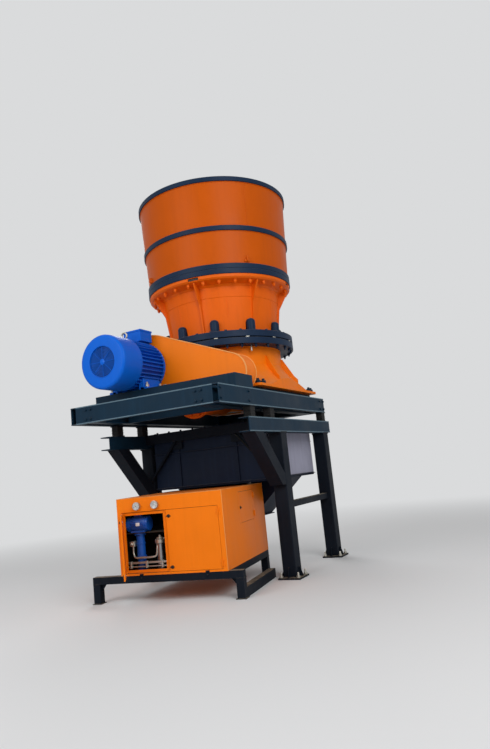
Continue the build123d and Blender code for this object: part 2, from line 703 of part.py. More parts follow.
def drive_base():
    """The welded base under the motor: four rails and two motor slides."""
    z0 = PLATFORM_TOP_Z
    z1 = DRIVE_BASE_TOP_Z
    rail = DRIVE_BASE_RAIL
    front = DRIVE_BASE_FRONT
    back = DRIVE_BASE_BACK
    left = DRIVE_BASE_LEFT
    right = DRIVE_BASE_RIGHT
    base = block(left, right, front, front + rail, z0, z1)
    base += block(left, right, back - rail, back, z0, z1)
    base += block(left, left + rail, front + rail, back - rail, z0, z1)
    base += block(right - rail, right, front + rail, back - rail, z0, z1)
    for side in (-1, 1):
        x = MOTOR_X + side * MOTOR_FOOT_SPACING / 2
        half = MOTOR_FOOT_WIDTH / 2
        base += block(x - half, x + half, front + rail, back - rail, z1 - MOTOR_SLIDE_DEPTH, z1)
    return base


def motor_axis_solid(radius, start, length):
    """A round bar on the motor's axis, from a start towards the guard."""
    return Pos(MOTOR_X, start, MOTOR_Z) * Rot(-90, 0, 0) * Cylinder(radius, length, align=UPRIGHT)


def motor_fan_cover():
    """The pressed cover with rounded edge and the recessed inlet of the cooling fan."""
    r = FAN_COVER_RADIUS
    cover = motor_axis_solid(r, MOTOR_FAN_END_Y, FAN_COVER_LENGTH)
    rear = cover.edges().filter_by(GeomType.CIRCLE).sort_by(Axis.Y)[0]
    cover = fillet(rear, FAN_COVER_ROUND)
    cover -= motor_axis_solid(FAN_COVER_RECESS_RADIUS, MOTOR_FAN_END_Y, FAN_COVER_RECESS_DEPTH)
    return cover


def motor_body():
    """The finned stator frame with its feet."""
    start = MOTOR_FAN_END_Y + FAN_COVER_LENGTH
    body = motor_axis_solid(MOTOR_BODY_RADIUS, start, MOTOR_BODY_LENGTH)
    half = MOTOR_FIN_THICKNESS / 2
    root = MOTOR_BODY_RADIUS - MOTOR_FIN_ROOT
    fin = block(root, MOTOR_BODY_RADIUS + MOTOR_FIN_HEIGHT, 0, MOTOR_BODY_LENGTH, -half, half)
    place = Pos(MOTOR_X, start, MOTOR_Z)
    body = body.fuse(*[place * Rot(0, i * 360 / MOTOR_FIN_COUNT, 0) * fin for i in range(MOTOR_FIN_COUNT)])
    y0 = start + MOTOR_FOOT_INSET
    y1 = start + MOTOR_BODY_LENGTH - MOTOR_FOOT_INSET
    z0 = DRIVE_BASE_TOP_Z
    z1 = MOTOR_Z - MOTOR_BODY_RADIUS / 2
    for side in (-1, 1):
        x = MOTOR_X + side * MOTOR_FOOT_SPACING / 2
        body += block(x - MOTOR_FOOT_WIDTH / 2, x + MOTOR_FOOT_WIDTH / 2, y0, y1, z0, z0 + MOTOR_FOOT_HEIGHT)
        inner = x - side * MOTOR_FOOT_WEB
        body += block(min(inner, x), max(inner, x), y0, y1, z0, z1)
    return body


def motor_drive_end():
    """The drive-end shield and the shaft that runs into the guard."""
    start = MOTOR_FAN_END_Y + FAN_COVER_LENGTH + MOTOR_BODY_LENGTH
    shield = motor_axis_solid(MOTOR_BODY_RADIUS + MOTOR_SHIELD_PROUD, start, MOTOR_SHIELD_LENGTH)
    shield += motor_axis_solid(MOTOR_SHAFT_RADIUS, start, GUARD_FRONT_Y - SEAT_GAP - start)
    return shield


def motor_terminal_box():
    """The terminal box with its overhanging lid."""
    foot = MOTOR_Z + MOTOR_BODY_RADIUS + MOTOR_FIN_HEIGHT + SEAT_GAP
    lid_foot = foot + TERMINAL_BOX_HEIGHT - TERMINAL_BOX_LID
    over = 2 * TERMINAL_BOX_LID_PROUD
    case = Box(TERMINAL_BOX_WIDTH, TERMINAL_BOX_LENGTH, lid_foot - foot, align=UPRIGHT)
    lid = Box(TERMINAL_BOX_WIDTH + over, TERMINAL_BOX_LENGTH + over, TERMINAL_BOX_LID, align=UPRIGHT)
    return Pos(MOTOR_X, TERMINAL_BOX_Y, foot) * case + Pos(MOTOR_X, TERMINAL_BOX_Y, lid_foot) * lid


def platform_beams():
    """The four edge channels, webs outwards, the two carriers and the cross beams."""
    span_x = PLATFORM_RIGHT - PLATFORM_LEFT
    span_y = PLATFORM_BACK - PLATFORM_FRONT
    profile = (PLATFORM_DEPTH, CHANNEL_WIDTH, CHANNEL_WEB, CHANNEL_FLANGE)
    inner_y = span_y - 2 * CHANNEL_WIDTH
    front = Pos(PLATFORM_LEFT, PLATFORM_FRONT, PLATFORM_FOOT_Z) * channel(span_x, *profile)
    rear = Pos(PLATFORM_RIGHT, PLATFORM_BACK, PLATFORM_FOOT_Z) * Rot(0, 0, 180) * channel(span_x, *profile)
    right_start = Pos(PLATFORM_RIGHT, PLATFORM_FRONT + CHANNEL_WIDTH, PLATFORM_FOOT_Z)
    left_start = Pos(PLATFORM_LEFT, PLATFORM_BACK - CHANNEL_WIDTH, PLATFORM_FOOT_Z)
    right = right_start * Rot(0, 0, 90) * channel(inner_y, *profile)
    left = left_start * Rot(0, 0, -90) * channel(inner_y, *profile)
    beams = {"platform_end_beams": [front, rear], "platform_side_beams": [left, right]}
    carrier = (PLATFORM_DEPTH, CARRIER_WIDTH, CARRIER_WEB, CHANNEL_FLANGE)
    start_y = PLATFORM_FRONT + CHANNEL_WIDTH
    carriers = []
    for side in (-1, 1):
        place = Pos(side * CARRIER_X, start_y, PLATFORM_FOOT_Z)
        carriers.append(place * joist(inner_y, *carrier))
    beams["platform_carriers"] = carriers
    length = 2 * CARRIER_X - CARRIER_WIDTH
    cross = []
    for y in (CROSS_FRONT_Y, CROSS_BACK_Y):
        cross.append(Pos(-length / 2, y, PLATFORM_FOOT_Z) * channel(length, *profile))
    beams["platform_cross_beams"] = cross
    return beams


def resilient_blocks():
    """Blocks that carry the platform on the bearer beams."""
    one = Box(BLOCK_WIDTH, BLOCK_LENGTH, BLOCK_HEIGHT, align=UPRIGHT)
    return [Pos(side * BLOCK_X, y, BEARER_TOP_Z) * one for side in (-1, 1) for y in BLOCK_PLACES]


def bearer_beam(side):
    """The long I-beam on one side of the stand."""
    length = BEARER_BACK - BEARER_FRONT
    place = Pos(side * BEARER_X, BEARER_FRONT, BEARER_FOOT_Z)
    return place * joist(length, BEARER_DEPTH, BEARER_WIDTH, CARRIER_WEB, CHANNEL_FLANGE)


def column_places():
    """The middle of each column on the ground, front to back on the left and then on the right."""
    return [Pos(side * COLUMN_X, y) for side in (-1, 1) for y in (COLUMN_FRONT_Y, COLUMN_BACK_Y)]


def stand_columns():
    """The square columns from their foot plates to the bearer beams."""
    one = Box(COLUMN_SIZE, COLUMN_SIZE, BEARER_FOOT_Z - FOOT_PLATE_THICKNESS, align=UPRIGHT)
    return [place * Pos(0, 0, FOOT_PLATE_THICKNESS) * one for place in column_places()]


def foot_plates():
    """The four foot plates, each with four anchor holes."""
    plate = Box(FOOT_PLATE_SIZE, FOOT_PLATE_SIZE, FOOT_PLATE_THICKNESS, align=UPRIGHT)
    hole = Cylinder(FOOT_BOLT_RADIUS, FOOT_PLATE_THICKNESS, align=UPRIGHT)
    half = FOOT_BOLT_SPACING / 2
    for x in (-half, half):
        for y in (-half, half):
            plate -= Pos(x, y) * hole
    return [place * plate for place in column_places()]


def stand_cross_beams():
    """The cross beams between the bearers, in front of and behind the chute."""
    beams = []
    top = CHUTE_RIM_Z - CHUTE_FLANGE_THICKNESS
    middle = CHUTE_HALF_Y + STAND_CROSS_GAP + STAND_CROSS_WIDTH / 2
    half = STAND_CROSS_WIDTH / 2
    inner = STAND_OUTER_X - BEARER_WIDTH
    for y in (-middle, middle):
        beams.append(block(-inner, inner, y - half, y + half, top - STAND_CROSS_DEPTH, top))
    return beams


def side_brace(side):
    """The crossed bracing between the front and back columns of one side."""
    x = side * COLUMN_X
    y0 = COLUMN_FRONT_Y + COLUMN_SIZE / 2
    y1 = COLUMN_BACK_Y - COLUMN_SIZE / 2
    over = WELD_OVERLAP
    cross = strut((x, y0 - over, BRACE_LOW_Z), (x, y1 + over, BRACE_HIGH_Z), BRACE_SIZE, BRACE_SIZE)
    cross += strut((x, y0 - over, BRACE_HIGH_Z), (x, y1 + over, BRACE_LOW_Z), BRACE_SIZE, BRACE_SIZE)
    half = COLUMN_SIZE / 2
    keep = block(x - half, x + half, y0 + SEAT_GAP, y1 - SEAT_GAP, 0, BEARER_FOOT_Z)
    return cross & keep


def knee_brace(side):
    """The knee brace from a front column out to the cantilevered front of the bearer."""
    x = side * COLUMN_X
    column_face = COLUMN_FRONT_Y - COLUMN_SIZE / 2
    bearer_foot = BEARER_FOOT_Z - SEAT_GAP
    low = (x, column_face + KNEE_SIZE, KNEE_LOW_Z - KNEE_SIZE)
    bar = strut(low, (x, KNEE_FRONT_Y, BEARER_FOOT_Z + KNEE_SIZE / 2), KNEE_SIZE, KNEE_SIZE)
    keep = block(x - KNEE_SIZE, x + KNEE_SIZE, BEARER_FRONT, column_face - SEAT_GAP, 0, bearer_foot)
    return bar & keep


def discharge_chute():
    """The plate hopper under the crusher, with its rim on the cross beams and an outlet flange."""
    def level(z, half_x, half_y):
        return Plane.XY.offset(z) * Rectangle(2 * half_x, 2 * half_y)

    def hopper(inset, lift):
        x = CHUTE_HALF_X - inset
        y = CHUTE_HALF_Y - inset
        waist_y = CHUTE_WAIST_HALF_Y - inset
        outlet_x = CHUTE_OUTLET_HALF_X - inset
        waist = level(CHUTE_WAIST_Z, x, waist_y)
        shoulder = level(CHUTE_SHOULDER_Z, x, y)
        mouth = loft([shoulder, level(CHUTE_RIM_Z + lift, x, y)])
        slope = loft([waist, shoulder])
        spout = loft([level(CHUTE_OUTLET_Z - lift, outlet_x, waist_y), waist])
        return mouth + slope + spout

    t = CHUTE_FLANGE_THICKNESS
    rim_x = CHUTE_HALF_X + CHUTE_FLANGE
    rim_y = CHUTE_HALF_Y + STAND_CROSS_GAP + CHUTE_FLANGE
    rim = block(-rim_x, rim_x, -rim_y, rim_y, CHUTE_RIM_Z - t, CHUTE_RIM_Z)
    lip_x = CHUTE_OUTLET_HALF_X + CHUTE_OUTLET_FLANGE
    lip_y = CHUTE_WAIST_HALF_Y + CHUTE_OUTLET_FLANGE
    lip = block(-lip_x, lip_x, -lip_y, lip_y, CHUTE_OUTLET_Z, CHUTE_OUTLET_Z + t)
    return hopper(0, 0) + rim + lip - hopper(CHUTE_WALL, SEAT_GAP)


def in_cabinet(solid):
    """Moves a piece from the cabinet's own frame to its place beside the stand."""
    return Pos(CABINET_X, CABINET_Y, 0) * Rot(0, 0, CABINET_YAW) * solid


def leaf_spans():
    """The two front door openings as (left, right) in the cabinet's frame."""
    w = CABINET_WIDTH
    return ((-w + LEFT_LEAF_EDGE, -w + LEAF_SPLIT), (-w + LEAF_SPLIT + DOOR_GAP, -RIGHT_LEAF_EDGE))


def cabinet_housing():
    """The sheet case with rebated door openings in front and at the side, and a bulkhead."""
    w = CABINET_WIDTH
    d = CABINET_DEPTH
    t = CABINET_WALL
    z0 = CABINET_FOOT_Z
    z1 = CABINET_TOP_Z
    depth = DOOR_THICKNESS + REBATE_THICKNESS
    case = block(-w, 0, 0, d, z0, z1)
    case -= block(-w + t, -t - REBATE_THICKNESS, depth, CABINET_BULKHEAD_DEPTH, z0 + t, z1 - t)
    case -= block(-w + t, -t - REBATE_THICKNESS, CABINET_BULKHEAD_DEPTH + t, d - t, z0 + t, z1 - t)
    divider = -w + LEAF_SPLIT + DOOR_GAP / 2
    case += block(divider - t / 2, divider + t / 2, DOOR_THICKNESS, CABINET_BULKHEAD_DEPTH, z0, z1)
    r = DOOR_REBATE
    for x0, x1 in leaf_spans():
        case -= block(x0, x1, 0, DOOR_THICKNESS, LEAF_FOOT_Z, LEAF_TOP_Z)
        case -= block(x0 + r, x1 - r, 0, depth, LEAF_FOOT_Z + r, LEAF_TOP_Z - r)
    y0 = SIDE_DOOR_START
    y1 = y0 + SIDE_DOOR_WIDTH
    case -= block(-DOOR_THICKNESS, 0, y0, y1, SIDE_DOOR_FOOT_Z, SIDE_DOOR_TOP_Z)
    case -= block(-depth, 0, y0 + r, y1 - r, SIDE_DOOR_FOOT_Z + r, SIDE_DOOR_TOP_Z - r)
    left_span, right_span = leaf_spans()
    straps = fixed_straps(left_span[0], -1, LEAF_FOOT_Z, LEAF_TOP_Z)
    straps += fixed_straps(right_span[1], 1, LEAF_FOOT_Z, LEAF_TOP_Z)
    straps += [to_side(s) for s in fixed_straps(y1, 1, SIDE_DOOR_FOOT_Z, SIDE_DOOR_TOP_Z)]
    return case.fuse(*straps)


def hinge_heights(foot, top):
    """The heights of a leaf's two hinges."""
    return (foot + HINGE_INSET, top - HINGE_INSET)


def strap(hinge_x, side, z, height):
    """A hinge barrel on the front face with a strap to one side of it, of a given height."""
    near = min(hinge_x, hinge_x + side * HINGE_LEAF)
    far = max(hinge_x, hinge_x + side * HINGE_LEAF)
    barrel = Pos(hinge_x, -HINGE_OFFSET, z) * Cylinder(HINGE_RADIUS, height)
    return barrel + block(near, far, -HINGE_STRAP, 0, z - height / 2, z + height / 2)


def fixed_straps(hinge_x, side, foot, top):
    """The case's half of a leaf's hinges: a barrel above and one below each of the leaf's barrels."""
    straps = []
    step = HINGE_HEIGHT / 3
    for z in hinge_heights(foot, top):
        for end in (-1, 1):
            straps.append(strap(hinge_x, side, z + end * step, step - SEAT_GAP))
    return straps


def to_side(solid):
    """Turns a piece from the case's front face to its right-hand face."""
    return Rot(0, 0, 90) * solid


def front_door(span, hinge_x):
    """A front door leaf, flush in its rebate, hinged on the edge at hinge_x."""
    x0, x1 = span
    z0 = LEAF_FOOT_Z + DOOR_GAP
    z1 = LEAF_TOP_Z - DOOR_GAP
    leaf = block(x0 + DOOR_GAP, x1 - DOOR_GAP, 0, DOOR_THICKNESS - SEAT_GAP, z0, z1)
    side = 1 if hinge_x == x0 else -1
    for z in hinge_heights(LEAF_FOOT_Z, LEAF_TOP_Z):
        leaf += strap(hinge_x, side, z, HINGE_HEIGHT / 3 - SEAT_GAP)
    return leaf


def side_door():
    """The side door leaf, hinged on its rear edge."""
    y0 = SIDE_DOOR_START
    y1 = y0 + SIDE_DOOR_WIDTH
    z0 = SIDE_DOOR_FOOT_Z + DOOR_GAP
    z1 = SIDE_DOOR_TOP_Z - DOOR_GAP
    leaf = block(-DOOR_THICKNESS + SEAT_GAP, 0, y0 + DOOR_GAP, y1 - DOOR_GAP, z0, z1)
    for z in hinge_heights(SIDE_DOOR_FOOT_Z, SIDE_DOOR_TOP_Z):
        leaf += to_side(strap(y1, -1, z, HINGE_HEIGHT / 3 - SEAT_GAP))
    return leaf


def cabinet_pieces():
    """The case, its three leaves and the lubrication equipment in the open bay."""
    left_span, right_span = leaf_spans()
    hinge = Pos(left_span[0], -HINGE_OFFSET, 0)
    back = Pos(-left_span[0], HINGE_OFFSET, 0)
    pieces = {
        "cabinet_housing": cabinet_housing(),
        "cabinet_left_door": hinge * Rot(0, 0, -LEFT_DOOR_OPEN) * back * front_door(left_span, left_span[0]),
        "cabinet_right_door": front_door(right_span, right_span[1]),
        "cabinet_side_door": side_door(),
    }
    bay_x = (left_span[0] + left_span[1]) / 2
    floor = CABINET_FOOT_Z + CABINET_WALL
    pump_x = bay_x - PUMP_OFFSET
    pump_motor = Cylinder(PUMP_MOTOR_RADIUS, PUMP_MOTOR_LENGTH, align=UPRIGHT)
    pump = Cylinder(PUMP_RADIUS, PUMP_MOTOR_Z - floor, align=UPRIGHT)
    oil_filter = Cylinder(FILTER_RADIUS, FILTER_TOP_Z - floor, align=UPRIGHT)
    pieces["pump_motor"] = Pos(pump_x, PUMP_Y, PUMP_MOTOR_Z) * pump_motor
    pieces["oil_pump"] = Pos(pump_x, PUMP_Y, floor) * pump
    pieces["oil_filter"] = Pos(bay_x + FILTER_OFFSET, PUMP_Y, floor) * oil_filter
    return {name: in_cabinet(solid) for name, solid in pieces.items()}


def skid_pieces():
    """The skid under the cabinet: beams, legs and a runner on the ground at its right side."""
    w = CABINET_WIDTH
    d = CABINET_DEPTH
    z1 = CABINET_FOOT_Z
    z0 = z1 - SKID_BEAM_DEPTH
    wide = SKID_BEAM_WIDTH
    left = -w - SKID_OVERHANG
    right = SKID_RIGHT_OVERHANG
    front = block(left, right, 0, wide, z0, z1)
    back = block(-w, 0, d - wide, d, z0, z1)
    sides = [
        block(-w, -w + wide, wide, d - wide, z0, z1),
        block(-wide, 0, wide, d - wide, z0, z1),
        block(right - wide, right, wide, wide + RUNNER_LENGTH, 0, RUNNER_HEIGHT),
    ]
    legs = [
        block(left, left + SKID_LEG_WIDTH, 0, wide, 0, z0),
        block(right - SKID_LEG_WIDTH, right, 0, wide, 0, z0),
        block(-w, -w + SKID_LEG_WIDTH, d - wide, d, 0, z0),
        block(-SKID_LEG_WIDTH, 0, d - wide, d, 0, z0),
    ]
    pieces = {"skid_cross_beams": [front, back], "skid_side_beams": sides, "skid_legs": legs}
    return {name: [in_cabinet(s) for s in solids] for name, solids in pieces.items()}


def cabinet_gauges():
    """Two round pressure gauges on the fascia above the left bay."""
    dial = Cylinder(GAUGE_RADIUS, GAUGE_DEPTH, align=UPRIGHT)
    return [in_cabinet(Pos(x, -SEAT_GAP, GAUGE_Z) * Rot(90, 0, 0) * dial) for x in GAUGE_PLACES]


def all_pieces():
    """Every node's solid, or the list of its solids, by the node's name."""
    rim_band = bin_band(BIN_TOP_Z, RIM_BAND_HEIGHT)
    middle_band = bin_band(BIN_TOP_Z - MIDDLE_BAND_DROP, MIDDLE_BAND_HEIGHT)
    pieces = {
        "feed_bin": feed_bin(),
        "bin_bands": [rim_band, middle_band],
        "bin_flange": bin_flange(),
        "top_shell_ring": top_shell_ring(),
        "top_shell": top_shell(),
        "upper_clamp_flange": upper_clamp_flange(),
        "lower_clamp_flange": lower_clamp_flange(),
        "bottom_shell": bottom_shell(),
        "countershaft_housing": countershaft_housing(),
        "crusher_seat_rails": crusher_seat_rails(),
        "spider": spider(),
        "spider_cap": spider_cap(),
        "concave_liner": concave_liner(),
        "mantle": mantle(),
        "main_shaft": main_shaft(),
        "belt_guard": belt_guard(),
        "drive_base": drive_base(),
        "motor_body": motor_body(),
        "motor_fan_cover": motor_fan_cover(),
        "motor_drive_end": motor_drive_end(),
        "motor_terminal_box": motor_terminal_box(),
        "resilient_blocks": resilient_blocks(),
        "bearer_beams": [bearer_beam(-1), bearer_beam(1)],
        "stand_columns": stand_columns(),
        "foot_plates": foot_plates(),
        "stand_cross_beams": stand_cross_beams(),
        "side_braces": [side_brace(-1), side_brace(1)],
        "knee_braces": [knee_brace(-1), knee_brace(1)],
        "discharge_chute": discharge_chute(),
        "cabinet_gauges": cabinet_gauges(),
    }
    pieces.update(platform_beams())
    pieces.update(cabinet_pieces())
    pieces.update(skid_pieces())
    return pieces


def write_parts():
    """Moves the whole over the middle of its footprint and writes one file for each node."""
    os.makedirs("parts", exist_ok=True)
    pieces = {}
    for name, shape in all_pieces().items():
        solids = shape if isinstance(shape, list) else [shape]
        pieces[name] = Compound(children=[s for part in solids for s in part.solids()])
    box = Compound(children=list(pieces.values())).bounding_box()
    shift = Pos(-(box.min.X + box.max.X) / 2, -(box.min.Y + box.max.Y) / 2, -box.min.Z)
    print("crusher axis at", shift.position.X, shift.position.Y, "height", box.max.Z)
    for name, shape in pieces.items():
        solids = [shift * s for s in shape.solids()]
        export_step(solids[0] if len(solids) == 1 else Compound(children=solids), f"parts/{name}.step")


write_parts()
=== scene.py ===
"""A cone crusher with its motor and belt guard on a platform and stand, and its lubrication cabinet.

Every size is in metres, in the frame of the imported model: +Z up, the front towards -Y. New pieces
are surfaces worked out as whole arrays of points. A shape is a pair: points (n, 3) and faces
(m, 4), where a triangle repeats its last corner.
"""
import json
import math
from functools import partial

import bpy
import numpy as np
from bpy.props import FloatProperty, FloatVectorProperty, IntProperty, PointerProperty
from mathutils import Matrix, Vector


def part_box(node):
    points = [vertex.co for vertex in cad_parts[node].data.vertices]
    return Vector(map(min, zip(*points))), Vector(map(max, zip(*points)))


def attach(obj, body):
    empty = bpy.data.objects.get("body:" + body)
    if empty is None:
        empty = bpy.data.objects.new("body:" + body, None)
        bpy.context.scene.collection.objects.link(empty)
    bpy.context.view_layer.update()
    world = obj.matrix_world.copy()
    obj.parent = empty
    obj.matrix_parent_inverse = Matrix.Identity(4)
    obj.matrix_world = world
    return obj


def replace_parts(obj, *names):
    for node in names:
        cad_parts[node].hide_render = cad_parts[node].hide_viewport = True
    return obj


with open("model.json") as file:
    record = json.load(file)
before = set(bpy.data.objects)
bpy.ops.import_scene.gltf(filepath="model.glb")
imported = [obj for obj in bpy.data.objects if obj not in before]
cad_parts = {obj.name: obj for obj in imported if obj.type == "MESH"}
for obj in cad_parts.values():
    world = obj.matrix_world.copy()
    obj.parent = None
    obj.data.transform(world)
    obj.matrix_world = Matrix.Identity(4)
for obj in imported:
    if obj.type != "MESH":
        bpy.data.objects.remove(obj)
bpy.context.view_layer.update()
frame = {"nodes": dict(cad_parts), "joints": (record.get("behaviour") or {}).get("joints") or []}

bl_info = {
    "name": "Cone crusher",
    "version": (1, 0, 0),
    "blender": (4, 5, 0),
    "location": "View3D > Sidebar > Crusher",
    "description": "Dresses the cone crusher with its finishes, fasteners and fittings",
    "category": "Object",
}


def box(node):
    """The lowest and the highest corner of a CAD node's box."""
    return np.array(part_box(node))


def joint(name):
    """A packed joint by its name."""
    return next(row for row in frame["joints"] if row["name"] == name)


def linear(colour):
    """An sRGB hex colour as linear red, green, blue and alpha."""
    srgb = np.array([int(colour[i:i + 2], 16) for i in (1, 3, 5)]) / 255
    rgb = np.where(srgb <= 0.04045, srgb / 12.92, ((srgb + 0.055) / 1.055) ** 2.4)
    return (*rgb.tolist(), 1.0)


# Crusher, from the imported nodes: the bin, the top shell with its pockets, the clamp flanges
BIN_LOW, BIN_HIGH = box("feed_bin")
AXIS_Y = (BIN_LOW[1] + BIN_HIGH[1]) / 2
BIN_FOOT, BIN_TOP = BIN_LOW[2], BIN_HIGH[2]
FLANGE_RADIUS, _, FLANGE_TOP = box("bin_flange")[1]
SHELL_FOOT, SHELL_TOP = box("top_shell")[:, 2]
LIP_FOOT = SHELL_TOP - 0.072
BODY_TOP = LIP_FOOT - 0.078
BODY_TOP_RADIUS = 1.064
BODY_TAPER = 0.135
SEAM_STEP = 0.007
RIB_ANGLES = np.radians(-81.5 + np.arange(7) * 360 / 7)
POCKET_ANGLES = np.radians(-106.0 + np.arange(10) * 36)
POCKET_HALF = 0.075
POCKET_HEIGHT = 0.25
POCKET_DEPTH = 0.085
CYLINDER_OFFSET = 0.058
CYLINDER_HEIGHT = 0.248
CLAMP_RADIUS = box("upper_clamp_flange")[1, 0]
CLAMP_FOOT = box("lower_clamp_flange")[0, 2]
RAIL_TOP = box("crusher_seat_rails")[1, 2]
BASE_TOP = RAIL_TOP + 0.04
RING_STEPS = 144
SEAT_GAP = 0.0003

# Platform, stand and hopper
PLATFORM_LOW, PLATFORM_HIGH = box("platform_end_beams")
PLATFORM_FOOT, PLATFORM_TOP = PLATFORM_LOW[2], PLATFORM_HIGH[2]
CHANNEL_WIDTH = 0.095
FLANGE_THICK = 0.016
BEARER_LOW, BEARER_HIGH = box("bearer_beams")
BEARER_FOOT, BEARER_TOP = BEARER_LOW[2], BEARER_HIGH[2]
BEARER_WIDTH, BEARER_WEB = 0.18, 0.014
PLATE_TOP = box("foot_plates")[1, 2]
COLUMN_X = 1.23
COLUMN_HALF = 0.11
COLUMN_PLACES = [(side * COLUMN_X, AXIS_Y + y) for side in (-1, 1) for y in (-0.85, 1.05)]
ANCHOR_PLACES = [(side * 1.25, AXIS_Y + y) for side in (-1, 1) for y in (-0.87, 1.05)]
BLOCK_PLACES = [(side * 1.215, AXIS_Y + y) for side in (-1, 1) for y in (-1.72, -1.05, 1.225)]
CHUTE_OUTLET, CHUTE_RIM = box("discharge_chute")[:, 2]
CHUTE_X, CHUTE_Y, CHUTE_WAIST = 1.06, 0.95, 1.48

# Drive: the base, and the motor from its fan cover's end to its frame's
DRIVE_LOW, DRIVE_HIGH = box("drive_base")
DRIVE_TOP = DRIVE_HIGH[2]
COVER_LOW, COVER_HIGH = box("motor_fan_cover")
MOTOR_X, _, MOTOR_Z = (COVER_LOW + COVER_HIGH) / 2
FAN_END = COVER_LOW[1]
COVER_LENGTH = 0.44
COVER_END = FAN_END + COVER_LENGTH
FRAME_END = box("motor_body")[1, 1]
FOOT_THICK = 0.034

# The cabinet's own frame: its origin is the case's front right corner on the ground, x runs along
# the front to the right and y into the case
LEFT_HINGE = np.array(joint("left_door_hinge")["pos_m"])
RIGHT_HINGE = np.array(joint("right_door_hinge")["pos_m"])
CABINET_YAW = math.atan2(*(RIGHT_HINGE - LEFT_HINGE)[1::-1])
LEFT_HINGE_X = -1.562
HINGE_INSET = 0.070
HINGE_OFFSET = 0.010
LEFT_LEAF_OPEN = math.radians(joint("left_door_hinge")["range_deg"][1])
CASE_WIDTH = 1.622
CASE_DEPTH = 1.9
CASE_FOOT, CASE_TOP = box("cabinet_housing")[:, 2]
LEAF_FOOT, LEAF_TOP = box("cabinet_right_door")[:, 2]
BAY_LEFT, BAY_RIGHT = -1.602, -0.8725
PUMP_PLACE = (-1.3735, 0.18, 1.065)
PUMP_MOTOR_RADIUS = 0.105
SHELF_TOP = 0.948
BAY_FLOOR = 0.39
FILTER_X = -1.0635

UP, BACK = (0, 0, 1), (0, 1, 0)


# Property groups


def colour_property(name, hex_colour, description):
    """A colour that a user can change, given as the sRGB hex of the real finish."""
    return FloatVectorProperty(name=name, description=description, subtype="COLOR", size=4, min=0.0,
                               max=1.0, default=linear(hex_colour))


def length_property(name, default, description):
    """A length of a fastener or fitting."""
    return FloatProperty(name=name, description=description, default=default, unit="LENGTH", min=0.0)


def count_property(name, default, description):
    """How many of a fastener stand round a circle."""
    return IntProperty(name=name, description=description, default=default, min=4)


def stage_property(name, default, description, unit="NONE"):
    """An angle, a power or a plain number of the stage."""
    return FloatProperty(name=name, description=description, default=default, unit=unit)


class CrusherColours(bpy.types.PropertyGroup):
    """The colours of the finishes."""

    orange: colour_property("Orange", "#F07800", "Enamel of the guard and the cabinet")
    bin: colour_property("Bin orange", "#BE5100", "Enamel of the feed bin")
    casting: colour_property("Casting orange", "#E06000", "Enamel of the crusher's castings")
    edge: colour_property("Rubbed orange", "#F09C4C", "Enamel rubbed thin along folded edges")
    navy: colour_property("Navy", "#10263F", "Enamel of the rings and flanges")
    motor: colour_property("Motor blue", "#005ECB", "Enamel of the drive motor")
    frame: colour_property("Frame blue", "#0A2638", "Structural paint of the platform and its bearers")
    # A pale blue painted along the beams' edges as a highlight where they catch the light
    worn: colour_property("Edge highlight blue", "#526A78", "Pale frame blue painted along beam edges as a highlight")
    stand: colour_property("Stand black", "#0F1620", "Structural paint of the stand and skid")
    chute: colour_property("Chute black", "#101C30", "Paint on the rolled plate of the hopper")
    manganese: colour_property("Manganese", "#5A534D", "Cast manganese steel of liner and mantle")
    steel: colour_property("Steel", "#9DA0A2", "Turned and brushed steel")
    zinc: colour_property("Zinc", "#B9B6AC", "Zinc plate on screws and pipe fittings")
    rubber: colour_property("Rubber", "#191A1C", "Moulded rubber")
    pump: colour_property("Pump blue", "#0E4FA8", "Enamel of the pump and its motor")
    dust: colour_property("Dust", "#B7A78E", "Stone dust that settles on level faces")
    floor: colour_property("Floor", "#DADBDC", "The studio floor")


class CrusherStage(bpy.types.PropertyGroup):
    """Where the camera stands and how bright the lamps are."""

    camera_place: FloatVectorProperty(
        name="Camera place", description="The camera, from the crusher's axis on the ground",
        default=(5.225, -9.7125, 1.67), unit="LENGTH", subtype="TRANSLATION",
    )
    azimuth: stage_property("Azimuth", math.radians(26.68), "Heading, turned from +Y towards -X", "ROTATION")
    elevation: stage_property("Elevation", math.radians(8.83), "How far the camera looks up", "ROTATION")
    roll: stage_property("Roll", math.radians(-5.93), "How far the camera leans", "ROTATION")
    lens: stage_property("Lens", 29.56, "Focal length in mm on a 36 mm high sensor")
    key_power: stage_property("Key", 690.0, "Power of the key lamp", "POWER")
    fill_power: stage_property("Fill", 450.0, "Power of the fill lamp", "POWER")
    rim_power: stage_property("Rim", 600.0, "Power of the lamp behind", "POWER")
    world_strength: stage_property("Sky", 0.38, "Strength of the even light all round")


class CrusherSizes(bpy.types.PropertyGroup):
    """The sizes of fasteners and fittings that a user would change."""

    clamp_bolts: count_property("Clamp bolts", 30, "Bolts round the clamp flanges")
    clamp_bolt: length_property("Clamp bolt", 0.044, "Width of a clamp bolt's head across its flats")
    cylinder_width: length_property("Clamping cylinder", 0.15, "Diameter of a domed clamping cylinder")
    lip_nuts: count_property("Lip nuts", 28, "Nuts under the top shell's lip")
    lip_nut: length_property("Lip nut", 0.05, "Width of a lip nut across its flats")
    frame_bolt: length_property("Frame bolt", 0.032, "Width of a frame bolt's head across its flats")
    small_screw: length_property("Small screw", 0.019, "Width of a cover screw's head across its flats")
    weld: length_property("Weld", 0.009, "Leg of the weld beads")
    grille_wire: length_property("Grille wire", 0.006, "Thickness of the fan grille's wire")


# Shapes as arrays


def turns(count, start=0.0):
    """Evenly spaced angles round a circle."""
    return start + np.arange(count) * 2 * np.pi / count


